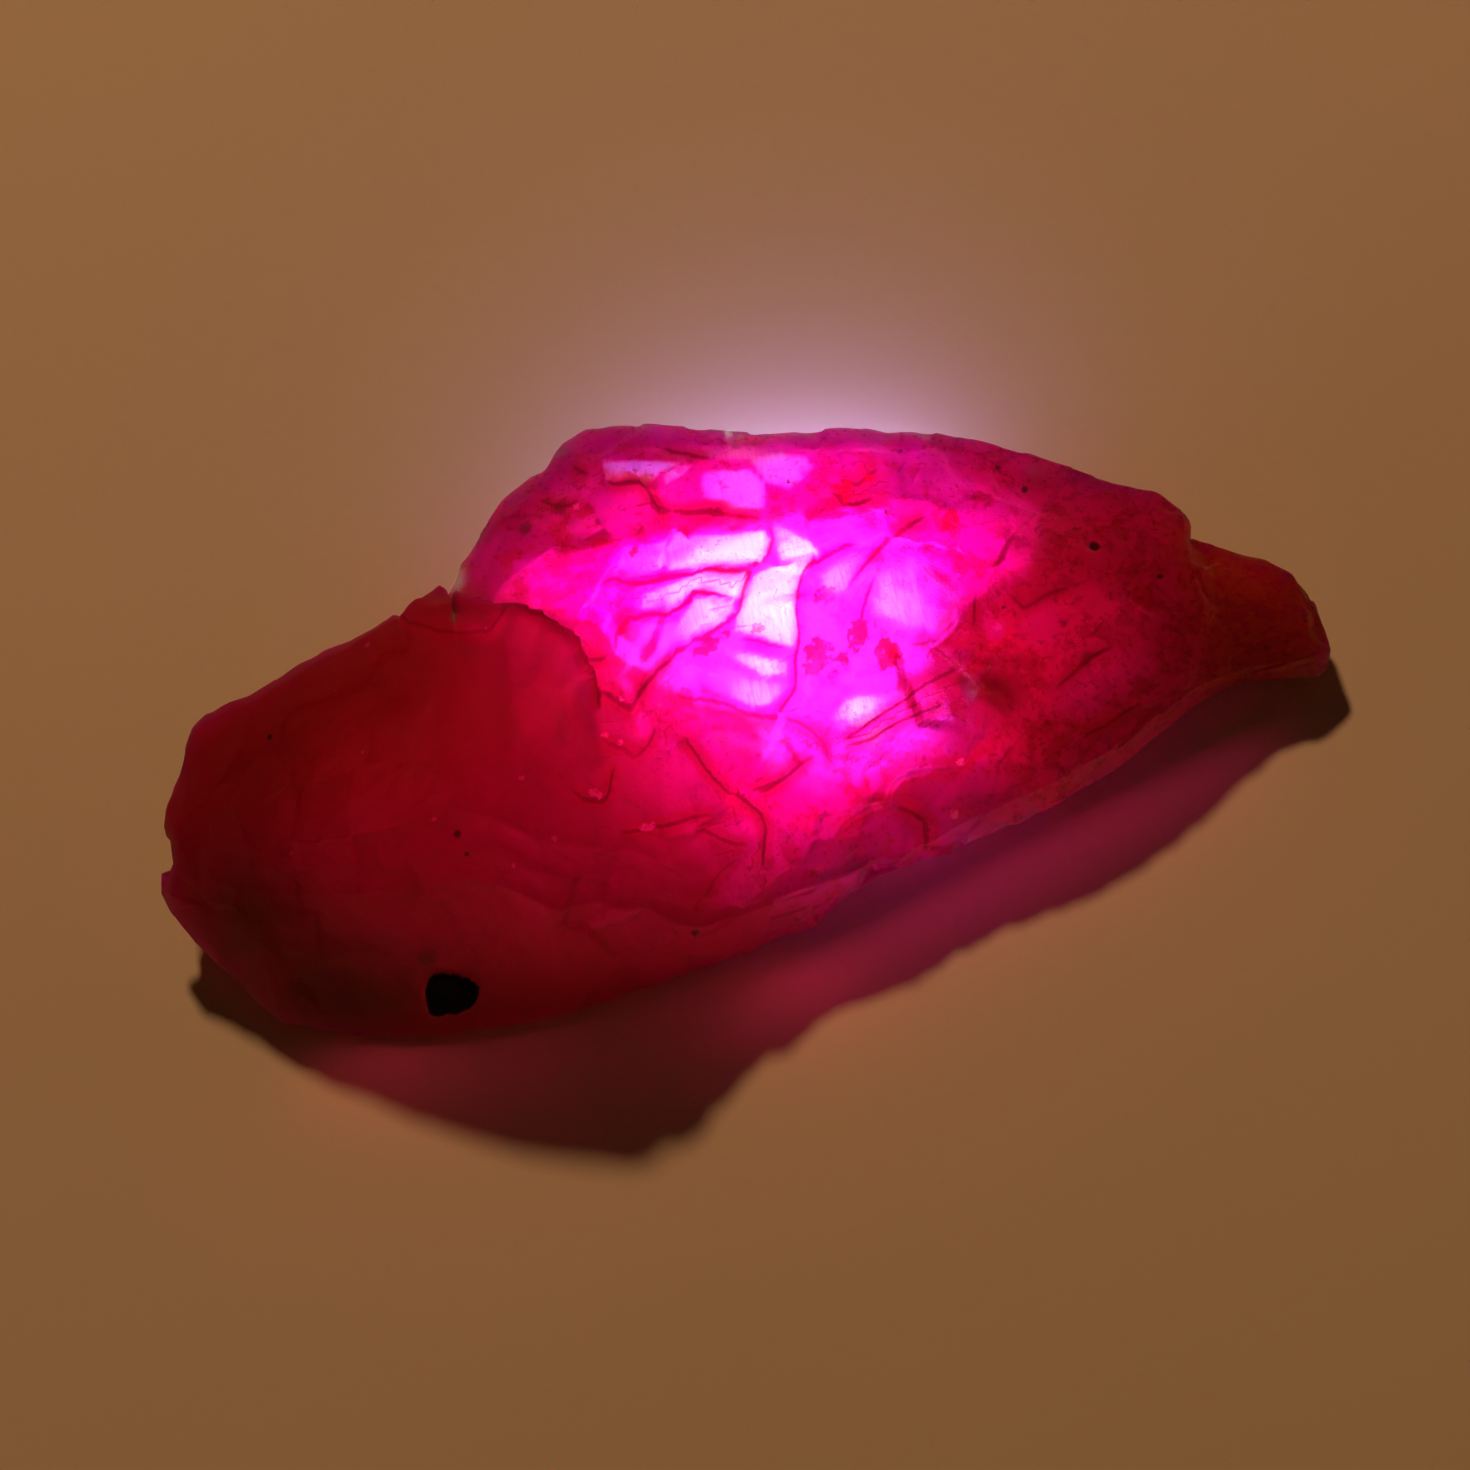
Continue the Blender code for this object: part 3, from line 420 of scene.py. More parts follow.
# %% Large facets
FACET_ROWS, FACET_COLUMNS = 12, 24
FACET_LIFT, FACET_LEAN, FACET_SEED = 0.15, 0.09, 7
FACET_JITTER, TILT_LIMIT = (0.1, 0.9), 2.5
CALM_LOBE, CALM_RIGHT, CALM_EDGE, HIDDEN_SIDES = 0.22, 0.50, 0.40, 1.20
LOBE_END, RIGHT_START = (-9.0, -3.0), (8.0, 12.0)
CALM_REACH, HIDDEN_QUICKNESS = 0.04, 3.0
WARP_CELL, WARP_REACH = 2.1, 0.55


def facet_strength(points, around):
    """Weak on the massive lobe, the right part and both outlines, strong on the hidden sides."""
    lobe = CALM_LOBE + (1.0 - CALM_LOBE) * smooth_step(*LOBE_END, points[..., 0])
    right = 1.0 - (1.0 - CALM_RIGHT) * smooth_step(*RIGHT_START, points[..., 0])
    visible = smooth_step(BASE_PLACE, NEAR_PLACE, around)
    from_far = np.minimum(around, HIDDEN_QUICKNESS * (1.0 - around))
    from_near = np.maximum(NEAR_PLACE - around, HIDDEN_QUICKNESS * (around - NEAR_PLACE))
    calm = smooth_step(CALM_REACH, 0.1 * CALM_REACH, np.minimum(from_far, from_near))
    edge = 1.0 - (1.0 - CALM_EDGE) * calm
    return (lobe * right * visible + HIDDEN_SIDES * (1.0 - visible)) * edge


def large_facets(points):
    """lift + lean · (point - centre) of the nearest centre, and how much farther the second is."""
    rng = np.random.default_rng(FACET_SEED)
    column, row = np.meshgrid(np.arange(FACET_COLUMNS), np.arange(FACET_ROWS))
    count = FACET_ROWS * FACET_COLUMNS
    centre_along = (column.ravel() + rng.uniform(*FACET_JITTER, count)) / FACET_COLUMNS
    centre_around = (row.ravel() + rng.uniform(*FACET_JITTER, count)) / FACET_ROWS
    centres = loft(centre_along, centre_around)
    lift, lean = rng.uniform(-1.0, 1.0, count), rng.normal(0.0, 1.0, (count, 3))
    place = points + WARP_REACH * noise_vectors(points, WARP_CELL, (1, 2, 3))
    square = (place ** 2).sum(axis=-1)[..., None] + (centres ** 2).sum(axis=-1)
    square = square - 2.0 * place @ centres.T
    two = np.sqrt(np.maximum(np.partition(square, 1, axis=-1)[..., :2], 0.0))
    nearest = square.argmin(axis=-1)
    tilt = ((points - centres[nearest]) * lean[nearest]).sum(axis=-1)
    height = FACET_LIFT * lift[nearest] + FACET_LEAN * np.clip(tilt, -TILT_LIMIT, TILT_LIMIT)
    return height, two[..., 1] - two[..., 0], lift[nearest]


facet_height, facet_seam, facet_tint = large_facets(SMOOTH_SKIN)
print("large facets stand", round(facet_height.min(), 2), "to", round(facet_height.max(), 2), "mm")

# %% Small facets
SMALL_CELL, SMALL_LIFT, SMALL_LEAN, SMALL_JITTER = 1.5, 0.025, 0.025, (0.05, 0.95)
SMALL_WARP_CELL, SMALL_WARP_REACH, SMALL_SEED = 1.1, 0.35, 31


def cell_facets(points, cell, seed):
    """Nearest jittered centre among the 27 cells round a point: lift, lean · offset and seam."""
    rng = np.random.default_rng(seed)
    jitter = rng.uniform(*SMALL_JITTER, (LATTICE, LATTICE, LATTICE, 3))
    lift = rng.uniform(-1.0, 1.0, (LATTICE, LATTICE, LATTICE))
    lean = rng.normal(0.0, 1.0, (LATTICE, LATTICE, LATTICE, 3))
    scaled = points / cell
    home = np.floor(scaled).astype(int)
    best, second = np.full((2, *points.shape[:-1]), FAR_AWAY)
    centre, chosen = np.zeros(points.shape), np.zeros(points.shape, dtype=int)
    for step in np.ndindex(3, 3, 3):
        corner = home + np.array(step) - 1
        index = corner % LATTICE
        place = corner + jitter[index[..., 0], index[..., 1], index[..., 2]]
        gap = np.linalg.norm(scaled - place, axis=-1)
        nearer = gap < best
        second = np.where(nearer, best, np.minimum(second, gap))
        best = np.where(nearer, gap, best)
        centre = np.where(nearer[..., None], place, centre)
        chosen = np.where(nearer[..., None], index, chosen)
    index = tuple(np.moveaxis(chosen, -1, 0))
    tilt = ((scaled - centre) * lean[index]).sum(axis=-1)
    return lift[index], tilt, (second - best) * cell


warped = SMOOTH_SKIN + SMALL_WARP_REACH * noise_vectors(SMOOTH_SKIN, SMALL_WARP_CELL, (21, 22, 23))
small_tint, small_tilt, small_seam = cell_facets(warped, SMALL_CELL, SMALL_SEED)
small_height = SMALL_LIFT * small_tint + SMALL_LEAN * small_tilt
print("small facets stand", round(small_height.min(), 2), "to", round(small_height.max(), 2), "mm")

# %% [markdown]
# ## Pits, grit and the black grain
# A few pits are scattered over the skin, the widest under the near edge of the slab. The black
# mineral grain on the lobe's flank is part of the same stone, a low plateau with a cornered
# outline. Grit in three sizes roughens everything, the outline too.

# %% Pits, grain and grit
PITS = [
    (4.3, -6.35, 0.55, 0.60), (15.1, 4.4, 0.35, 0.30), (13.0, 7.2, 0.30, 0.25),
    (-10.9, -1.9, 0.35, 0.30), (-17.4, -1.2, 0.40, 0.25), (9.6, -0.2, 0.45, 0.40),
]
GRAIN_CENTRE = (-12.5, -7.7)
GRAIN_RADII = (1.14, 0.72, 0.74, 1.00, 0.92, 1.04, 1.14, 0.82, 0.88, 1.04)
GRAIN_RISE, GRAIN_EDGE = 0.32, 0.12
GRIT = [(0.9, 0.07, 6), (0.42, 0.025, 8), (0.24, 0.010, 9)]
FAR_BORDER, NEAR_BORDER = (0.0, 0.03), (NEAR_PLACE + 0.01, NEAR_PLACE - 0.02)
BASE_FADE, TIP_FADE = 0.9, 0.012


def hill(flat, x, seen, radius):
    """exp(-(distance / radius)²) round one place."""
    return np.exp(-(np.hypot(flat[..., 0] - x, flat[..., 1] - seen) / radius) ** 2)


def pit_relief(flat):
    """Sum of -depth * hill over the pits."""
    return -sum(depth * hill(flat, x, seen, radius) for x, seen, radius, depth in PITS)


def grain_gap(flat):
    """Distance from the grain's centre minus its radius in that direction: negative inside."""
    across, up = flat[..., 0] - GRAIN_CENTRE[0], flat[..., 1] - GRAIN_CENTRE[1]
    turns = np.linspace(0.0, 2.0 * math.pi, len(GRAIN_RADII) + 1)
    turn = np.arctan2(up, across) % (2.0 * math.pi)
    return np.hypot(across, up) - np.interp(turn, turns, [*GRAIN_RADII, GRAIN_RADII[0]])


IN_SIGHT = smooth_step(*FAR_BORDER, AROUND) * smooth_step(*NEAR_BORDER, AROUND)
grain_distance = np.where(IN_SIGHT > 0.5, grain_gap(RAGGED), FAR_AWAY)
grit = sum(height * lattice_noise(SMOOTH_SKIN, cell, seed) for cell, height, seed in GRIT)
print("grit stands", round(grit.min(), 3), "to", round(grit.max(), 3), "mm")

# %% [markdown]
# ## All relief on the skin
# Relief is added along the loft's normals. It fades out on the base, which stays flat so that the
# stone rests, and at the two tips, where the rings close.

# %% Raise the skin
marks = fracture_relief + pit_relief(FLAT)
marks += GRAIN_RISE * smooth_step(GRAIN_EDGE, -GRAIN_EDGE, grain_distance)
facets = facet_strength(SMOOTH_SKIN, AROUND) * (facet_height + small_height)
off_base = smooth_step(0.0, BASE_FADE, SMOOTH_SKIN[..., 2])
off_tips = smooth_step(0.0, TIP_FADE, ALONG) * smooth_step(1.0, 1.0 - TIP_FADE, ALONG)
relief = (facets + IN_SIGHT * marks + grit) * off_base * off_tips
skin = SMOOTH_SKIN + relief[..., None] * SKIN_NORMALS
skin[..., 2] = np.maximum(skin[..., 2], 0.0)
tips = loft(np.array([0.0, 1.0]), np.zeros(2))
print("relief runs from", round(relief.min(), 2), "to", round(relief.max(), 2), "mm")

# %% Stand it in the CAD box
everything = np.concatenate([skin.reshape(-1, 3), tips])
cad_low, cad_high = (np.array(corner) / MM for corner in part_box("ruby_stone"))
middle = 0.5 * (everything.min(axis=0) + everything.max(axis=0)) - 0.5 * (cad_low + cad_high)
OFFSET = np.array([middle[0], middle[1], everything[:, 2].min()])
everything = everything - OFFSET
print("moved by", OFFSET.round(3), "mm; size", np.ptp(everything, axis=0).round(2), "mm")

# %% [markdown]
# ## From grid to mesh
# Neighbouring rings are joined by quads, and each tip closes the end with a fan of triangles. The
# faces are written in the order that turns them outwards.

# %% Write the mesh
def closed_faces(rings, sides):
    """Quads between ring r and r + 1, and triangles from the tips to the first and last ring."""
    index = np.arange(rings * sides).reshape(rings, sides)
    following = np.roll(index, -1, axis=1)
    quads = np.stack([index[:-1], index[1:], following[1:], following[:-1]], axis=-1).reshape(-1, 4)
    left, right = np.full(sides, rings * sides), np.full(sides, rings * sides + 1)
    fan_left = np.stack([left, index[0], following[0]], axis=-1)
    fan_right = np.stack([right, following[-1], index[-1]], axis=-1)
    return quads, np.concatenate([fan_left, fan_right])


def signed_volume(points, triangles):
    """Sum of a · (b x c) / 6 over the triangles, positive if they point outwards."""
    first, second, third = points[triangles].transpose(1, 0, 2)
    return (first * np.cross(second, third)).sum() / 6.0


def add_object(name, data):
    """A new object of the scene that shows the data."""
    made = bpy.data.objects.new(name, data)
    bpy.context.scene.collection.objects.link(made)
    return made


quads, fans = closed_faces(RINGS, SIDES)
triangles = np.concatenate([quads[:, [0, 1, 2]], quads[:, [0, 2, 3]], fans])
volume = signed_volume(everything, triangles)
order = -1 if volume < 0.0 else 1
faces = quads[:, ::order].tolist() + fans[:, ::order].tolist()
mesh = bpy.data.meshes.new("ruby_skin")
mesh.from_pydata((everything * MM).tolist(), [], faces)
mesh.polygons.foreach_set("use_smooth", np.ones(len(faces), dtype=bool))
ruby = add_object("ruby_skin", mesh)
print(len(everything), "points,", len(triangles), "triangles, volume", round(abs(volume)), "mm³")

# %% [markdown]
# ## What the material needs to know
# Colour follows the cracks and stains, and also the painted glow, glints and shade, so their fields
# are stored on the points as named attributes, in millimetres or as shares from 0 to 1. The shader
# then draws crisp lines from the signed distance, however coarse the grid is.

# %% Stains, specks, painted shade and painted glints
RUST = [
    (3.3, 11.0, 0.5), (4.4, 10.95, 0.45), (5.5, 10.9, 0.4), (0.4, 3.5, 0.25), (3.5, 1.7, 0.4),
    (5.35, 2.9, 0.45), (5.2, 2.4, 0.35), (6.3, 1.9, 0.35), (-2.5, 7.4, 0.3), (9.8, 6.5, 0.5),
    (4.6, 1.9, 0.3), (1.6, 3.6, 0.35), (6.0, 8.3, 0.45), (7.0, 8.5, 0.3), (-0.2, 3.3, 0.3),
    (3.7, 2.35, 0.6), (6.5, 1.5, 0.55), (4.5, 4.3, 0.5), (-0.7, 3.1, 0.35),
]
# Dark flakes as x, seen, radius; the last row, at (10.3, -0.6), is painted shade where the glow falls
# off beyond a crack.
DARK_FLAKES_AND_SHADE = [
    (-8.2, 9.4, 0.5), (-4.9, 11.3, 0.35), (-5.0, 9.8, 0.4), (-6.4, 9.2, 0.4), (9.3, -0.3, 0.4),
    (8.8, 0.1, 0.35), (-5.4, 3.2, 0.3), (3.8, -6.4, 0.35), (4.7, -6.25, 0.3), (-13.0, -6.2, 0.5),
    (13.8, 0.0, 0.4), (10.3, -0.6, 0.7),
]
# Painted shade: soft dark patches where less light comes through the stone, as x, seen, radius.
PAINTED_SHADE_CLOUDS = [
    (-16.6, -7.8, 1.5), (-15.2, -8.4, 1.2), (-17.8, -6.6, 1.0), (10.3, -0.6, 1.3), (-19.5, -3.5, 1.6),
]
SPECKS = [
    (0.9, 11.7, 0.14), (1.45, 7.85, 0.10), (3.9, 9.0, 0.10), (7.4, 7.1, 0.10), (8.5, 9.5, 0.10),
    (11.1, 2.6, 0.10), (12.1, 8.1, 0.12), (13.0, 7.2, 0.15), (15.1, 4.4, 0.24), (17.3, 2.65, 0.13),
    (-17.5, 3.0, 0.12), (-10.9, -1.9, 0.16), (-10.6, -2.6, 0.10), (-2.9, -7.3, 0.16),
]
# Painted highlights: small bright spots where light catches the corners of blocks, as x, seen, radius.
PAINTED_GLINTS = [
    (-5.75, -1.37, 0.22), (-5.45, -1.5, 0.16), (-4.07, -2.98, 0.18), (-3.75, -3.02, 0.16),
    (0.05, -5.53, 0.12), (-4.86, 0.67, 0.20), (-4.35, 0.3, 0.16), (-4.02, 1.9, 0.16), (-2.6, 1.4, 0.16),
    (-4.04, -0.24, 0.10), (-11.58, -1.26, 0.16), (-8.31, -0.52, 0.16), (-9.0, -3.39, 0.14),
    (-13.13, 5.54, 0.14), (-7.39, -2.83, 0.16), (-17.35, -1.39, 0.12), (-13.89, 1.62, 0.10),
    (-8.63, 4.91, 0.08), (10.67, 1.9, 0.25), (8.25, -2.88, 0.22), (7.63, -4.76, 0.25),
    (4.46, -6.64, 0.16), (-5.95, 11.13, 0.20), (-4.37, 9.63, 0.20), (-0.13, 10.24, 0.25),
]
print(len(RUST), "rust spots,", len(SPECKS), "specks,", len(PAINTED_GLINTS), "glints")

# %% [markdown]
# ## Pale blocks with painted glow
# Some of the blocks between the cracks look pale: partly clearer stone, partly a painted glow of
# the light that comes through them. Each row gives the paleness, the brightest place, the reach
# over which the paleness falls off from there, and the outline as x, seen.

# %% Outlines of the pale blocks and their painted glow
PALE_GLOW_BLOCKS = [
    (1.0, (1.1, 6.5), 2.7, [(-0.9, 7.7), (2.6, 7.3), (2.7, 6.8), (2.3, 5.9), (0.6, 6.0), (-1.5, 6.2),
        (-1.4, 7.0)]),
    (0.35, (-2.3, 7.0), 4.0, [(-2.9, 7.8), (-1.2, 7.8), (-1.5, 6.3), (-3.0, 6.3), (-3.5, 6.5)]),
    (1.0, (0.5, 5.5), 2.2, [(-2.4, 5.8), (-0.5, 5.9), (1.7, 5.8), (1.5, 4.9), (1.0, 4.9), (-0.5, 5.3),
        (-1.1, 4.9), (-1.5, 4.8), (-2.7, 5.0)]),
    (1.0, (2.7, 4.9), 1.7, [(1.8, 5.6), (3.1, 5.7), (4.4, 5.8), (3.7, 5.1), (3.2, 4.1), (2.9, 2.6),
        (0.7, 3.6), (1.0, 4.5)]),
    (0.50, (0.5, 4.7), 1.5, [(-0.4, 5.2), (1.0, 4.8), (0.9, 4.3), (0.2, 3.7), (-1.0, 3.4), (-2.1, 3.6),
        (-1.2, 4.5)]),
    (0.14, (-1.8, 4.0), 1.9, [(-4.4, 3.6), (-3.3, 4.3), (-1.9, 4.5), (-1.3, 4.4), (-1.8, 3.4),
        (-2.8, 2.3), (-3.4, 1.7), (-4.2, 2.2), (-4.7, 3.3)]),
    (0.50, (1.6, 2.3), 1.0, [(0.1, 3.1), (1.2, 2.7), (2.8, 2.2), (2.6, 1.5), (1.4, 1.8), (0.3, 2.7)]),
    (0.35, (1.05, 0.9), 1.1, [(1.4, 1.8), (2.5, 1.2), (1.9, 0.6), (0.7, 0.5), (-0.3, 1.1), (-0.9, 1.9),
        (-0.3, 2.4)]),
    (0.95, (2.0, 9.1), 1.5, [(0.7, 10.0), (2.6, 9.9), (3.0, 9.2), (2.8, 8.2), (1.3, 8.3), (0.4, 8.9)]),
    (0.80, (3.9, 9.9), 1.5, [(2.6, 10.4), (4.8, 10.1), (5.2, 9.4), (3.9, 8.5), (3.0, 9.2)]),
    (0.85, (-0.1, 10.2), 1.0, [(-0.8, 10.4), (0.4, 10.5), (0.0, 10.0), (-0.9, 9.8)]),
    (0.95, (-1.0, 10.8), 3.0, [(-3.1, 11.2), (0.3, 10.6), (-0.8, 10.4), (-1.6, 10.0), (-2.9, 10.3)]),
    (0.70, (3.7, 5.9), 1.3, [(3.0, 7.6), (4.5, 6.3), (4.5, 5.7), (3.1, 5.9), (2.7, 6.7)]),
    (0.25, (5.0, 4.8), 1.2, [(4.3, 5.1), (6.1, 5.7), (6.5, 5.5), (5.4, 4.3), (4.5, 4.0)]),
    (0.35, (1.0, 10.7), 3.5, [(-2.0, 11.6), (1.0, 11.2), (4.0, 10.7), (4.4, 10.2), (2.0, 10.2),
        (-0.5, 10.7)]),
    (0.14, (-4.5, 10.5), 2.5, [(-6.6, 10.9), (-4.9, 11.4), (-3.4, 11.6), (-3.1, 10.6), (-4.2, 9.6),
        (-5.6, 9.3), (-6.8, 10.0)]),
    (0.14, (-8.6, 8.5), 2.0, [(-9.6, 7.5), (-8.6, 8.9), (-7.4, 10.2), (-6.8, 9.8), (-7.8, 8.4),
        (-8.9, 7.2)]),
    (0.20, (-0.8, 9.4), 2.0, [(-2.6, 9.9), (-0.8, 9.8), (0.4, 9.9), (0.6, 9.0), (-0.6, 8.6),
        (-2.2, 8.8)]),
    (0.10, (-6.2, 9.6), 1.5, [(-7.8, 10.0), (-6.2, 9.9), (-5.3, 9.5), (-6.3, 9.2), (-7.5, 9.6)]),
    (0.24, (6.9, 3.5), 2.0, [(6.9, 5.2), (8.4, 5.2), (9.2, 3.2), (8.8, 2.2), (7.1, 2.4), (5.9, 3.3),
        (6.3, 4.4)]),
    (0.50, (4.9, -0.3), 0.9, [(4.4, 0.5), (5.1, 0.5), (6.9, 0.3), (6.9, -0.4), (5.0, -0.9), (3.9, -1.0),
        (3.5, -0.3)]),
    (0.25, (5.2, -1.3), 0.9, [(3.9, -1.2), (5.0, -1.0), (8.7, 0.3), (8.9, 0.0), (6.9, -0.9),
        (5.0, -1.7), (3.9, -1.6)]),
    (0.10, (8.0, -3.2), 1.5, [(5.5, -3.2), (7.3, -3.0), (8.4, -4.0), (7.3, -5.0), (6.2, -4.6)]),
    (0.16, (9.0, 9.0), 2.5, [(5.6, 10.3), (7.6, 10.0), (9.8, 9.6), (11.6, 8.6), (11.2, 7.6), (9.6, 8.3),
        (8.0, 8.9)]),
    (0.12, (10.0, 7.7), 1.5, [(9.4, 8.3), (10.6, 8.2), (11.1, 7.3), (10.1, 6.9), (9.2, 7.4)]),
    (0.14, (12.3, 1.7), 1.2, [(11.3, 2.8), (12.8, 3.0), (13.4, 1.6), (12.4, 0.5), (11.2, 1.2)]),
    (0.14, (13.2, -1.3), 1.4, [(11.8, -0.6), (13.0, -0.3), (14.8, -0.6), (15.0, -1.6), (13.4, -2.6),
        (12.0, -2.0)]),
    (0.15, (10.7, 1.9), 0.9, [(10.2, 2.5), (11.2, 2.2), (10.9, 1.3), (10.2, 1.3)]),
    (0.12, (-3.0, 1.2), 2.0, [(-5.1, 1.3), (-3.0, 1.3), (-2.7, 0.6), (-3.8, -0.2), (-5.0, 0.9)]),
    (0.12, (-1.5, -1.2), 1.8, [(-4.3, -0.4), (-2.8, -0.1), (-1.5, -0.9), (-0.5, -2.5), (-2.3, -2.9),
        (-3.9, -3.1), (-5.3, -2.6), (-4.7, -1.1)]),
    (0.15, (-0.6, -3.8), 1.5, [(-2.1, -3.2), (-0.1, -3.5), (0.1, -4.3), (-1.2, -4.2)]),
    (0.20, (-0.5, -5.8), 1.8, [(-2.9, -6.9), (-0.8, -5.1), (0.3, -4.6), (1.0, -5.2), (2.1, -5.9),
        (0.3, -6.2), (-2.0, -6.9)]),
    (0.15, (1.2, 0.0), 1.5, [(-2.3, 0.3), (0.2, 0.6), (1.9, -0.1), (1.7, -1.8), (0.3, -2.7),
        (-0.5, -2.4), (-1.5, -0.7)]),
    (0.10, (2.4, -5.2), 2.0, [(0.9, -5.5), (2.9, -4.6), (4.4, -3.9), (6.0, -4.1), (6.6, -5.1),
        (5.0, -6.0), (2.4, -6.0), (0.9, -5.9)]),
]
print(len(PALE_GLOW_BLOCKS), "pale blocks")

# %% Shares from outlines, spots and borders
BLOCK_BORDER, DULL_SHARE = 0.18, 0.20
LOBE_BORDER = [(-9.0, 1.0), (-3.0, -2.0), (2.0, -4.8), (4.5, -5.2), (6.0, -7.5), (8.0, -9.9)]
RIGHT_BORDER = [
    (-6.0, 9.0), (-3.5, 10.2), (-1.5, 9.2), (0.5, 8.9), (2.5, 10.0), (5.0, 11.3), (8.0, 10.6),
    (10.0, 9.0),
]
LOBE_FADE, RIGHT_FADE, TAIL_START = (-1.6, 1.6), (-1.3, 1.7), (17.0, 19.3)
# The far rim carries a painted glow, the light that leaks out at the thin far edge.
RIM_WIDTH, RIM_START, RIM_END = 0.6, (-9.8, -9.0), (13.0, 9.0)


def block_pale_glow(flat):
    """Paleness of the block that a point lies in, a painted glow falling away from the block's
    brightest place. A point is inside an outline if a line to its right crosses the outline an
    odd number of times."""
    total = np.zeros(flat.shape[:-1])
    x, seen = flat[..., 0], flat[..., 1]
    for paleness, brightest, reach, outline in PALE_GLOW_BLOCKS:
        closed = np.array([*outline, outline[0]])
        crossings = np.zeros(x.shape, dtype=int)
        for (x0, y0), (x1, y1) in zip(closed[:-1], closed[1:]):
            if y0 != y1:
                crossing = x0 + (seen - y0) * (x1 - x0) / (y1 - y0)
                crossings += ((y0 > seen) != (y1 > seen)) & (x < crossing)
        depth = np.where(crossings % 2 == 1, 1.0, -1.0) * np.abs(line_distance(flat, closed)[0])
        level = paleness * (DULL_SHARE + (1.0 - DULL_SHARE) * hill(flat, *brightest, reach))
        total = np.maximum(total, level * smooth_step(-0.5 * BLOCK_BORDER, BLOCK_BORDER, depth))
    return total


def spots(flat, rows):
    """Sum of the hills of the rows of x, seen, radius, at most one."""
    return np.minimum(sum(hill(flat, *row) for row in rows), 1.0)


def beyond(flat, border, before, after):
    """Zero left of a border and one right of it, by x minus the border's x at the same seen.
    Each row of the border is seen, x."""
    seen, x = np.transpose(border)
    return smooth_step(before, after, flat[..., 0] - np.interp(flat[..., 1], seen, x))


def painted_far_rim_glow(flat):
    """Painted glow of light leaking at the thin far edge: one on the far edge of the slab, fading out
    over RIM_WIDTH below it and at both ends.
    """
    x, seen = np.transpose([row[-3:-1] for row in FAR_EDGE])
    below = np.interp(flat[..., 0], x, seen) - flat[..., 1]
    return (smooth_step(RIM_WIDTH, 0.0, below) * smooth_step(*RIM_START, flat[..., 0])
            * smooth_step(*RIM_END, flat[..., 0]))


pale_glow_share = block_pale_glow(RAGGED) * IN_SIGHT
print("mean paleness of the skin:", round(pale_glow_share.mean(), 3))

# %% Store the fields on the points
marks_of = {
    "crack_gap": fracture_gap,
    "crack_dark": fracture_darkness * IN_SIGHT,
    "crack_painted_shade": fracture_painted_shade * IN_SIGHT,
    "facet_seam": facet_seam,
    "facet_tint": 0.5 + 0.5 * facet_tint,
    "small_seam": small_seam,
    "small_tint": 0.5 + 0.5 * small_tint,
    "grain_gap": grain_distance,
    "rust": spots(RAGGED, RUST) * IN_SIGHT,
    "dark_flake_and_shade": spots(RAGGED, DARK_FLAKES_AND_SHADE) * IN_SIGHT,
    "speck": spots(FLAT, SPECKS) * IN_SIGHT,
    "pale": pale_glow_share,
    "painted_shade_cloud": spots(RAGGED, PAINTED_SHADE_CLOUDS) * IN_SIGHT,
    "painted_glint": spots(FLAT, PAINTED_GLINTS) * IN_SIGHT,
    "painted_rim_glow": painted_far_rim_glow(FLAT),
    "slab": beyond(FLAT, LOBE_BORDER, *LOBE_FADE),
    "right": beyond(RAGGED, RIGHT_BORDER, *RIGHT_FADE),
    "tail": smooth_step(*TAIL_START, SMOOTH_SKIN[..., 0]),
    "seen": FLAT[..., 1],
}
for name, values in marks_of.items():
    at_tips = [values[0].mean(), values[-1].mean()]
    layer = mesh.attributes.new(name, "FLOAT", "POINT")
    layer.data.foreach_set("value", np.concatenate([values.ravel(), at_tips]).astype(np.float32))
print("attributes:", ", ".join(marks_of))

# %% [markdown]
# ## Shader maths in Python
# A wrapped socket lets a mask be written as `1 - line * 0.5`, and each operator adds its Math node.
# Colours go through Mix nodes, because a Math node would turn them grey.

# %% A socket that can be used in sums
class Wire:
    """One output socket of a material, with +, -, * and abs() as Math nodes."""

    def __init__(self, shader, socket):
        self.shader = shader
        self.socket = socket

    def maths(self, operation, first, second):
        """One Math node on two values, either of which may be a plain number."""
        return self.shader.node("Math", {0: first, 1: second}, operation=operation)

    def __add__(self, other):
        return self.maths("ADD", self, other)

    def __sub__(self, other):
        return self.maths("SUBTRACT", self, other)

    def __rsub__(self, other):
        return self.maths("SUBTRACT", other, self)

    def __mul__(self, other):
        return self.maths("MULTIPLY", self, other)

    def __abs__(self):
        return self.maths("ABSOLUTE", self, 0.0)

    __radd__ = __add__
    __rmul__ = __mul__


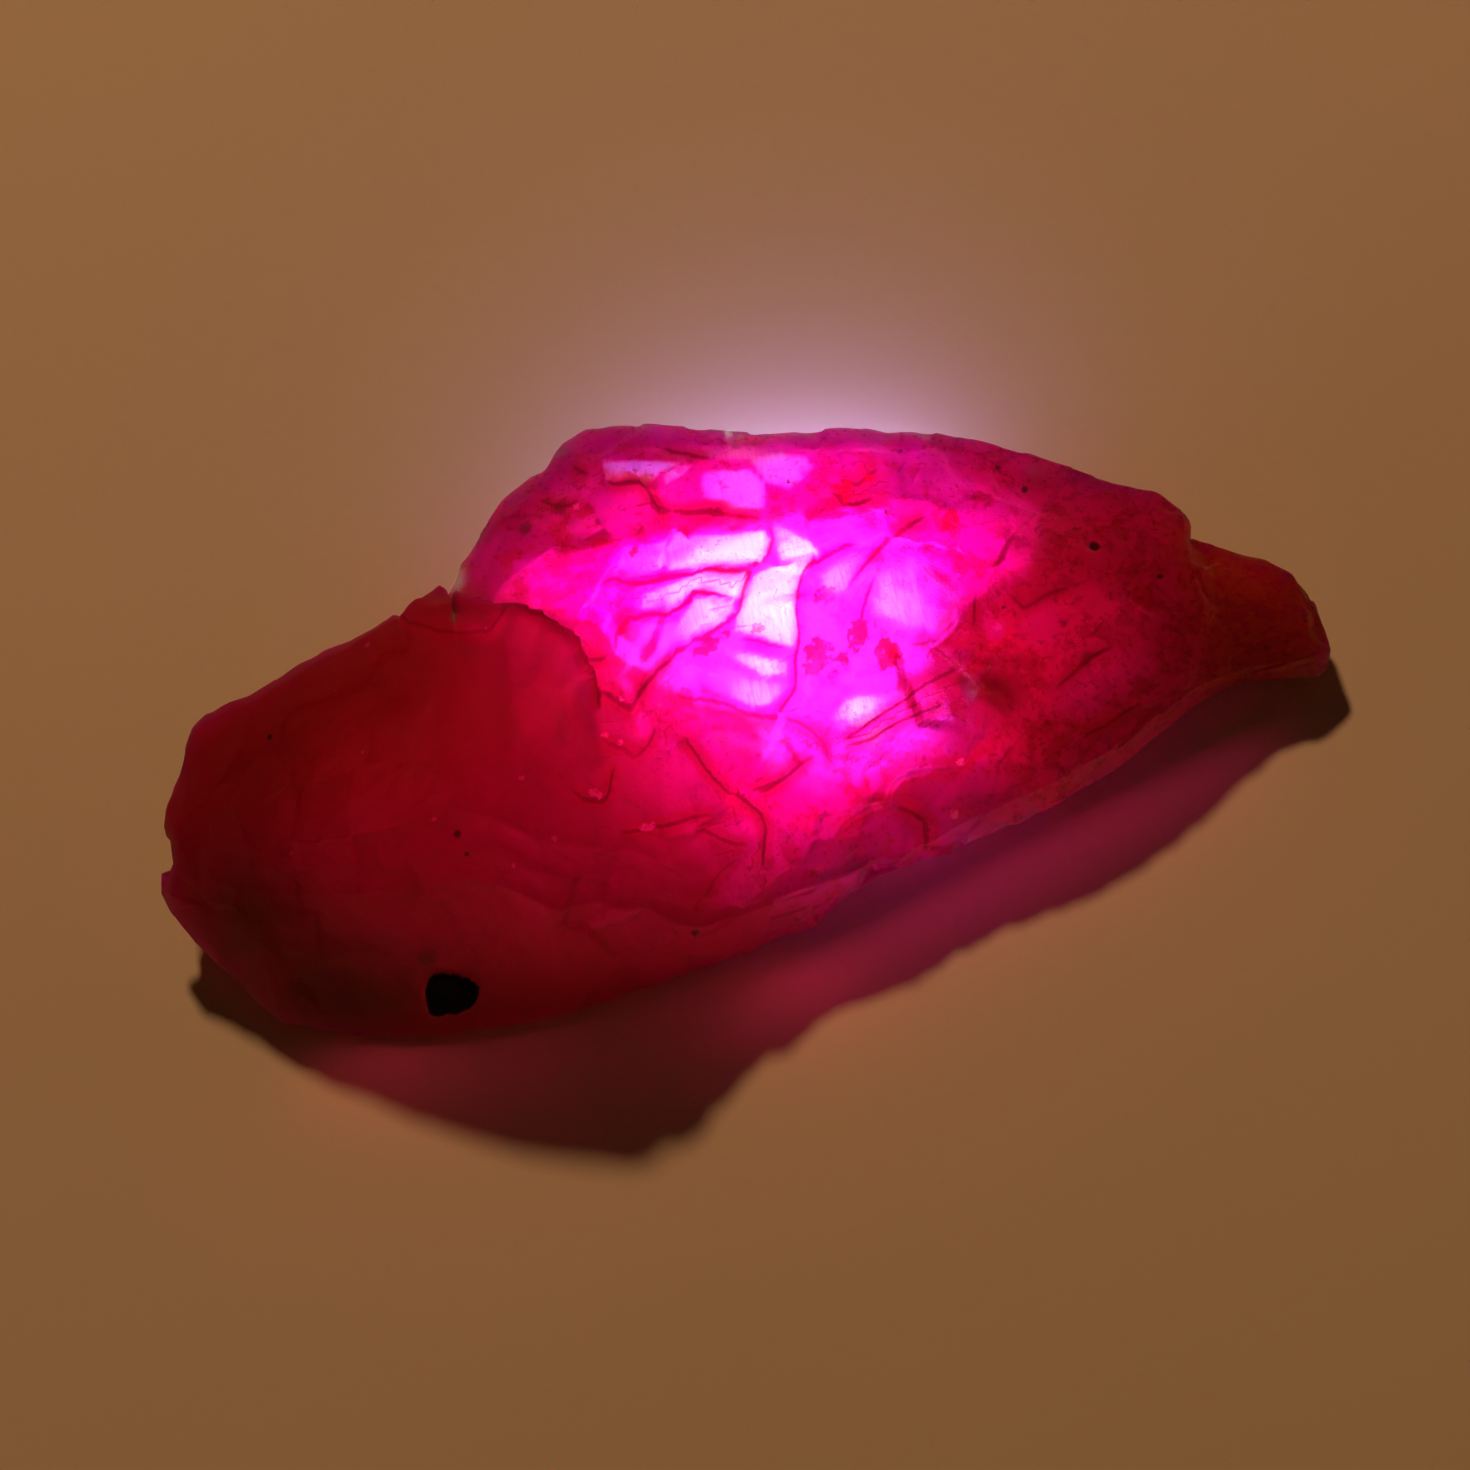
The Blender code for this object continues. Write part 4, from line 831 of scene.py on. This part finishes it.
class Shader:
    """The node tree of one new material."""

    def __init__(self, name):
        self.material = bpy.data.materials.new(name)
        self.material.use_nodes = True
        self.tree = self.material.node_tree
        self.tree.nodes.clear()

    def node(self, kind, sockets=None, out=0, **settings):
        """Adds a node, sets its settings, then fills its sockets with values or links."""
        made = self.tree.nodes.new("ShaderNode" + kind)
        for name, value in settings.items():
            setattr(made, name, value)
        for key, value in (sockets or {}).items():
            if isinstance(value, Wire):
                self.tree.links.new(value.socket, made.inputs[key])
            else:
                made.inputs[key].default_value = value
        return Wire(self, made.outputs[out]) if made.outputs else None

    def read(self, attribute):
        """A named attribute of the mesh as one value."""
        return self.node("Attribute", out="Fac", attribute_name=attribute)

    def ease(self, value, low, high, start=0.0, end=1.0):
        """Start at low, end at high, S-shaped between them."""
        sockets = {"Value": value, "From Min": low, "From Max": high, "To Min": start, "To Max": end}
        return self.node("MapRange", sockets, interpolation_type="SMOOTHSTEP")

    def blend(self, factor, first, second):
        """Second colour over the first by a factor."""
        return self.node("Mix", {0: factor, 6: first, 7: second}, out=2, data_type="RGBA")

    def noise(self, place, scale, detail=2.0, roughness=0.5):
        """Fractal noise from 0 to 1, with the scale in cells per unit of the place."""
        sockets = {"Vector": place, "Scale": scale, "Detail": detail, "Roughness": roughness}
        return self.node("TexNoise", sockets)


def rgb(red, green, blue):
    """A colour as a socket wants it."""
    return (red, green, blue, 1.0)


print("operators:", [name.strip("_") for name, value in vars(Wire).items()
                     if callable(value) and name not in ("__init__", "maths")])

# %% [markdown]
# ## Ruby
# Rough ruby is cloudy: light goes in, wanders and comes out centimetres away, redder the farther it
# went. Plain glass would be too clear and plain paint too dull. One Principled shader does both
# jobs: subsurface scattering for the cloud, a share of rough transmission at corundum's index for
# the light that goes straight through, and a closed volume that absorbs green most, then blue.
# The base colours lie over each other in the order of one list, each by a mask of its own.

# %% Colours of the ruby
SLAB_COLOUR = rgb(0.64, 0.0005, 0.36)
PINK_COLOUR = rgb(0.88, 0.004, 0.52)
PALE_GLOW_COLOUR = rgb(0.92, 0.80, 0.92)
RED_COLOUR = rgb(0.56, 0.0, 0.040)
RIGHT_COLOUR = rgb(0.92, 0.002, 0.24)
LOBE_COLOUR = rgb(0.56, 0.002, 0.10)
LOBE_TOP_COLOUR = rgb(0.44, 0.008, 0.035)
TAIL_COLOUR = rgb(0.72, 0.034, 0.014)
CRACK_COLOUR = rgb(0.24, 0.0, 0.010)
RED_DARK_COLOUR = rgb(0.30, 0.0, 0.006)
PAINTED_RIM_GLOW_COLOUR = rgb(0.92, 0.06, 0.40)
RUST_COLOUR = rgb(0.62, 0.0, 0.003)
FLAKE_AND_SHADE_COLOUR = rgb(0.20, 0.006, 0.010)
GRAIN_COLOUR = rgb(0.006, 0.006, 0.007)
PAINTED_GLINT_COLOUR = rgb(1.0, 0.05, 0.55)
print("slab", SLAB_COLOUR[:3], "lobe", LOBE_COLOUR[:3])

# %% Ruby material
CORUNDUM_INDEX, CLEAR_SHARE = 1.77, 0.62
CLOUD_RADIUS, CLOUD_SCALE = (1.0, 0.12, 0.75), 0.014
ABSORB_COLOUR, ABSORB_DENSITY = rgb(0.94, 0.45, 0.74), 350.0
BUMP_STRENGTH, BUMP_DISTANCE = 0.35, 0.12 * MM
IN_MM, STREAK_SCALE = (1000.0, 1000.0, 1000.0), (1.0, 0.1, 0.1)

stone = Shader("ruby")
read, ease, blend, noise = stone.read, stone.ease, stone.blend, stone.noise
place = stone.node("Mapping", {"Vector": stone.node("TexCoord", out="Object"), "Scale": IN_MM})
cloud, mottle = noise(place, 0.35, 3.0), noise(place, 1.6, 3.0, 0.6)
patches, dots = noise(place, 0.9, 4.0, 0.65), noise(place, 4.5, 2.0)
fine, dust = noise(place, 6.0, 2.0, 0.6), noise(place, 14.0, 1.0)
streaks = noise(stone.node("Mapping", {"Vector": place, "Scale": STREAK_SCALE}), 9.0, 2.0)
slab, right, tail, pale = read("slab"), read("right"), read("tail"), read("pale")
crack_gap, crack_dark = abs(read("crack_gap")), read("crack_dark")

line = ease(ease(crack_gap + 0.10 * (fine - 0.5), 0.11, 0.02) * crack_dark, 0.0, 0.75)
seam = ease(read("facet_seam"), 0.16, 0.0) * 0.35 + ease(read("small_seam"), 0.10, 0.0) * 0.16
seam = seam * (0.25 + 0.75 * slab) * (1.0 - 0.8 * tail) * (1.0 - ease(pale, 0.0, 0.1))
# Random tone of facets and clouds, less the painted shade beside the cracks, which is lighter on one
# side and darker on the other.
tone_and_painted_shade = 0.62 * (read("facet_tint") - 0.5) + 0.40 * (read("small_tint") - 0.5)
tone_and_painted_shade = tone_and_painted_shade + 0.9 * (cloud - 0.5) + 0.5 * (mottle - 0.5) - 0.8 * read("crack_painted_shade")
blotches = ease(0.55 * patches + 0.45 * mottle, 0.48, 0.57)
# Paleness of the blocks with its painted glow, streaked by stretched noise.
streaked_pale_glow = pale * ease(mottle, 0.2, 0.5, 0.55, 1.0) * ease(streaks, 0.3, 0.6, 0.75, 1.0)
redder = ease(ease(crack_gap + 0.6 * (mottle - 0.5), 0.7, 0.0) * crack_dark, 0.0, 0.6)
rusty = ease(read("rust") * (patches + 1.4 * dots - 0.65), 0.26, 0.40)
flakes_and_shade = ease(read("dark_flake_and_shade") * (0.4 + mottle), 0.3, 0.8)
speckle = ease(dots, 0.58, 0.64) * ease(patches, 0.40, 0.55) * slab
# Painted glints: bright spots in the base colour, broken up by fine noise.
painted_glint_mask = ease(read("painted_glint") * (0.1 + 1.7 * fine), 0.45, 0.75)
grain = ease(read("grain_gap") + 0.12 * (fine - 0.5), 0.05, -0.05)

# Painted light among the layers: the tone layers carry the painted crack shade, and the pale glow, the
# far rim glow, the painted shade patches and the glints are painted too.
LAYERS = [
    (slab, SLAB_COLOUR), (right, RIGHT_COLOUR), (tail, TAIL_COLOUR),
    (ease(tone_and_painted_shade, 0.0, -0.9) * 0.75, RED_DARK_COLOUR),
    (ease(tone_and_painted_shade, 0.1, 1.0) * 0.50 * slab * (1.0 - tail), PINK_COLOUR),
    (blotches * slab * (1.0 - pale) * 0.8, RED_COLOUR),
    (ease(streaked_pale_glow, 0.0, 0.2) * 0.8, PINK_COLOUR), (ease(streaked_pale_glow, 0.14, 0.9) * 0.95, PALE_GLOW_COLOUR),
    (read("painted_rim_glow") * ease(mottle, 0.3, 0.6, 0.4, 0.9), PAINTED_RIM_GLOW_COLOUR),
    (redder * 0.85, RED_COLOUR), (line + seam, CRACK_COLOUR),
    # The flake colour serves both the real dark flakes and the painted shade patches.
    (rusty * 0.95, RUST_COLOUR), (flakes_and_shade * 0.8, FLAKE_AND_SHADE_COLOUR), (read("painted_shade_cloud") * 0.6, FLAKE_AND_SHADE_COLOUR),
    (speckle * 0.65, RED_DARK_COLOUR), (painted_glint_mask * 0.85, PAINTED_GLINT_COLOUR),
    (ease(read("speck"), 0.3, 0.6) * 0.9, GRAIN_COLOUR), (grain, GRAIN_COLOUR),
]
colour = blend(ease(read("seen"), -3.0, 1.5), LOBE_COLOUR, LOBE_TOP_COLOUR)
for mask, layer in LAYERS:
    colour = blend(mask, colour, layer)

rough = 0.50 + 0.22 * (mottle - 0.5) + 0.25 * (1.0 - slab) - 0.06 * grain
height = 0.5 * fine + 0.25 * dust + 0.5 * mottle
bump = stone.node("Bump", {"Strength": BUMP_STRENGTH, "Distance": BUMP_DISTANCE, "Height": height})
surface = stone.node("BsdfPrincipled", {
    "Base Color": colour, "Metallic": grain * 0.9, "Roughness": rough, "Normal": bump,
    "IOR": CORUNDUM_INDEX, "Transmission Weight": CLEAR_SHARE, "Subsurface Weight": 1.0,
    "Subsurface Radius": CLOUD_RADIUS, "Subsurface Scale": CLOUD_SCALE,
}, subsurface_method="RANDOM_WALK")
absorb = stone.node("VolumeAbsorption", {"Color": ABSORB_COLOUR, "Density": ABSORB_DENSITY})
stone.node("OutputMaterial", {"Surface": surface, "Volume": absorb})
mesh.materials.append(stone.material)
print("ruby material:", len(stone.tree.nodes), "nodes in", len(LAYERS), "layers of colour")

# %% Stand in for the CAD solid
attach(ruby, "root")
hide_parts("ruby_stone")
print("ruby_skin rides on root and replaces ruby_stone")

# %% [markdown]
# ## Pale floor
# The stone lies on a smooth pale sheet. A faint mottle keeps it from looking like a flat fill.

# %% Floor
FLOOR_HALF = 1.2
FLOOR_HEIGHT = -0.02 * MM
SHEET_COLOURS, SHEET_ROUGHNESS = (rgb(0.78, 0.74, 0.70), rgb(0.82, 0.79, 0.75)), 0.75
ground = bpy.data.meshes.new("floor")
SQUARE = ((-1, -1), (1, -1), (1, 1), (-1, 1))
corners = [(x * FLOOR_HALF, y * FLOOR_HALF, FLOOR_HEIGHT) for x, y in SQUARE]
ground.from_pydata(corners, [], [(0, 1, 2, 3)])
floor = add_object("floor", ground)
paper = Shader("floor paper")
cloudy = paper.noise(paper.node("TexCoord", out="Object"), 30.0, 4.0)
sheet = paper.blend(cloudy, *SHEET_COLOURS)
finish = paper.node("BsdfPrincipled", {"Base Color": sheet, "Roughness": SHEET_ROUGHNESS})
paper.node("OutputMaterial", {"Surface": finish})
ground.materials.append(paper.material)
print("floor", 2 * FLOOR_HALF, "m across")

# %% [markdown]
# ## Light
# One warm soft lamp behind the stone gives the floor its tone and throws the long shadow towards
# the viewer, and a weak warm sky fills it. The glow comes from oval lamps just under the flat base:
# two bright cold ones under the core of the slab, and six weak pink ones that carry it outwards.
# The absorbing stone turns that light red on its way up. The red and pink light that leaks out at
# the foot is too faint to be traced well, so the spill lamp and the two washes lay it on the floor.

# %% Lamps
UP, UPRIGHT = 1000.0, 0.99
LAMPS = [
    ("warm lamp", (-45.0, 300.0, 300.0), (0.0, 0.0, 0.0), (42.0, 42.0), 0.71, (1.0, 0.475, 0.18)),
    ("glow lamp", (2.4, 2.3, -0.01), None, (11.6, 6.8), 0.36, (0.006, 1.0, 0.035)),
    ("second glow lamp", (4.0, -2.2, -0.01), None, (7.0, 3.2), 0.043, (0.006, 1.0, 0.035)),
    ("left glow lamp", (-0.6, -0.8, -0.012), None, (15.0, 10.0), 0.0019, (0.72, 0.12, 0.85)),
    ("far glow lamp", (-0.5, 5.1, -0.013), None, (14.5, 3.0), 0.0039, (0.68, 0.50, 1.0)),
    ("wide glow lamp", (-3.3, -2.0, -0.015), None, (27.0, 12.0), 0.0010, (0.9, 0.3, 0.5)),
    ("near glow lamp", (5.2, -4.2, -0.013), None, (11.5, 2.6), 0.00023, (1.0, 0.02, 0.35)),
    ("upper right glow lamp", (8.0, 4.4, -0.014), None, (7.2, 4.0), 0.00080, (0.60, 0.30, 1.0)),
    ("right glow lamp", (10.8, -0.3, -0.014), None, (9.5, 5.0), 0.00011, (1.0, 0.1, 0.6)),
    ("spill lamp", (3.0, 7.5, 0.6), (3.0, 17.5, 0.0), (12.0, 1.0), 0.0027, (0.58, 0.42, 0.93)),
    ("left wash", (-8.0, -10.8, 2.5), (-8.0, -20.8, -1.0), (22.0, 2.0), 0.00012, (1.0, 0.03, 0.08)),
    ("right wash", (8.8, -8.3, 1.8), (11.9, -17.8, -1.2), (24.0, 1.5), 0.00006, (1.0, 0.03, 0.15)),
]
NO_GLOSS = ("warm lamp", "left wash", "right wash")
SKY_COLOUR, SKY_STRENGTH = rgb(1.0, 0.42, 0.15), 0.02


def placed(side, up, back, place):
    """Matrix with three axes and a place as its columns, for a thing that looks along -back."""
    matrix = np.identity(4)
    matrix[:3] = np.stack([side, up, back, place], axis=-1)
    return Matrix(matrix.tolist())


def oval_lamp(name, place, target, size, power, colour):
    """An oval area lamp at place, hidden from the camera. It shines to target, or else straight up."""
    light = bpy.data.lights.new(name, "AREA")
    light.shape = "ELLIPSE"
    light.size, light.size_y = (MM * side for side in size)
    light.energy = power
    light.color = colour
    lamp = add_object(name, light)
    start, end = MM * np.array(place), MM * np.array(target or (*place[:2], UP))
    back = (start - end) / np.linalg.norm(start - end)
    side = np.cross((0.0, 1.0, 0.0) if abs(back[2]) > UPRIGHT else (0.0, 0.0, 1.0), back)
    side = side / np.linalg.norm(side)
    lamp.matrix_world = placed(side, np.cross(back, side), back, start)
    lamp.visible_camera = False
    lamp.visible_glossy = lamp.visible_transmission = name not in NO_GLOSS


for row in LAMPS:
    oval_lamp(*row)
world = bpy.data.worlds.new("dim sky")
world.use_nodes = True
sky = world.node_tree.nodes["Background"].inputs
sky["Color"].default_value, sky["Strength"].default_value = SKY_COLOUR, SKY_STRENGTH
bpy.context.scene.world = world
print("lamps:", [light.name for light in bpy.data.lights])

# %% [markdown]
# ## Camera
# The stone is seen from the near side, 60 degrees above the floor, through a long lens, and the
# camera is rolled by 11 degrees, so that the stone slants down to the left.

# %% Camera
LENS, SENSOR = 150.0, 36.0
FRAME_PIXELS, PIXELS_PER_MM = 1470.0, 26.0
CLIP_START, CLIP_END = 0.01, 10.0
ROLL = math.radians(11.0)
TARGET = np.array([-0.22, -2.75, 4.0]) * MM
distance = LENS / SENSOR * (FRAME_PIXELS / PIXELS_PER_MM) * MM
back = np.array([0.0, -COSINE, SINE])
level, upward = np.array([1.0, 0.0, 0.0]), np.array([0.0, SINE, COSINE])
lens = bpy.data.cameras.new("camera")
lens.lens, lens.sensor_width = LENS, SENSOR
lens.clip_start, lens.clip_end = CLIP_START, CLIP_END
camera = add_object("camera", lens)
camera.matrix_world = placed(level * math.cos(ROLL) - upward * math.sin(ROLL),
                             level * math.sin(ROLL) + upward * math.cos(ROLL),
                             back, TARGET + distance * back)
bpy.context.scene.camera = camera
bpy.context.scene.view_settings.view_transform = "Standard"
print("camera", round(distance * 1000), "mm away")
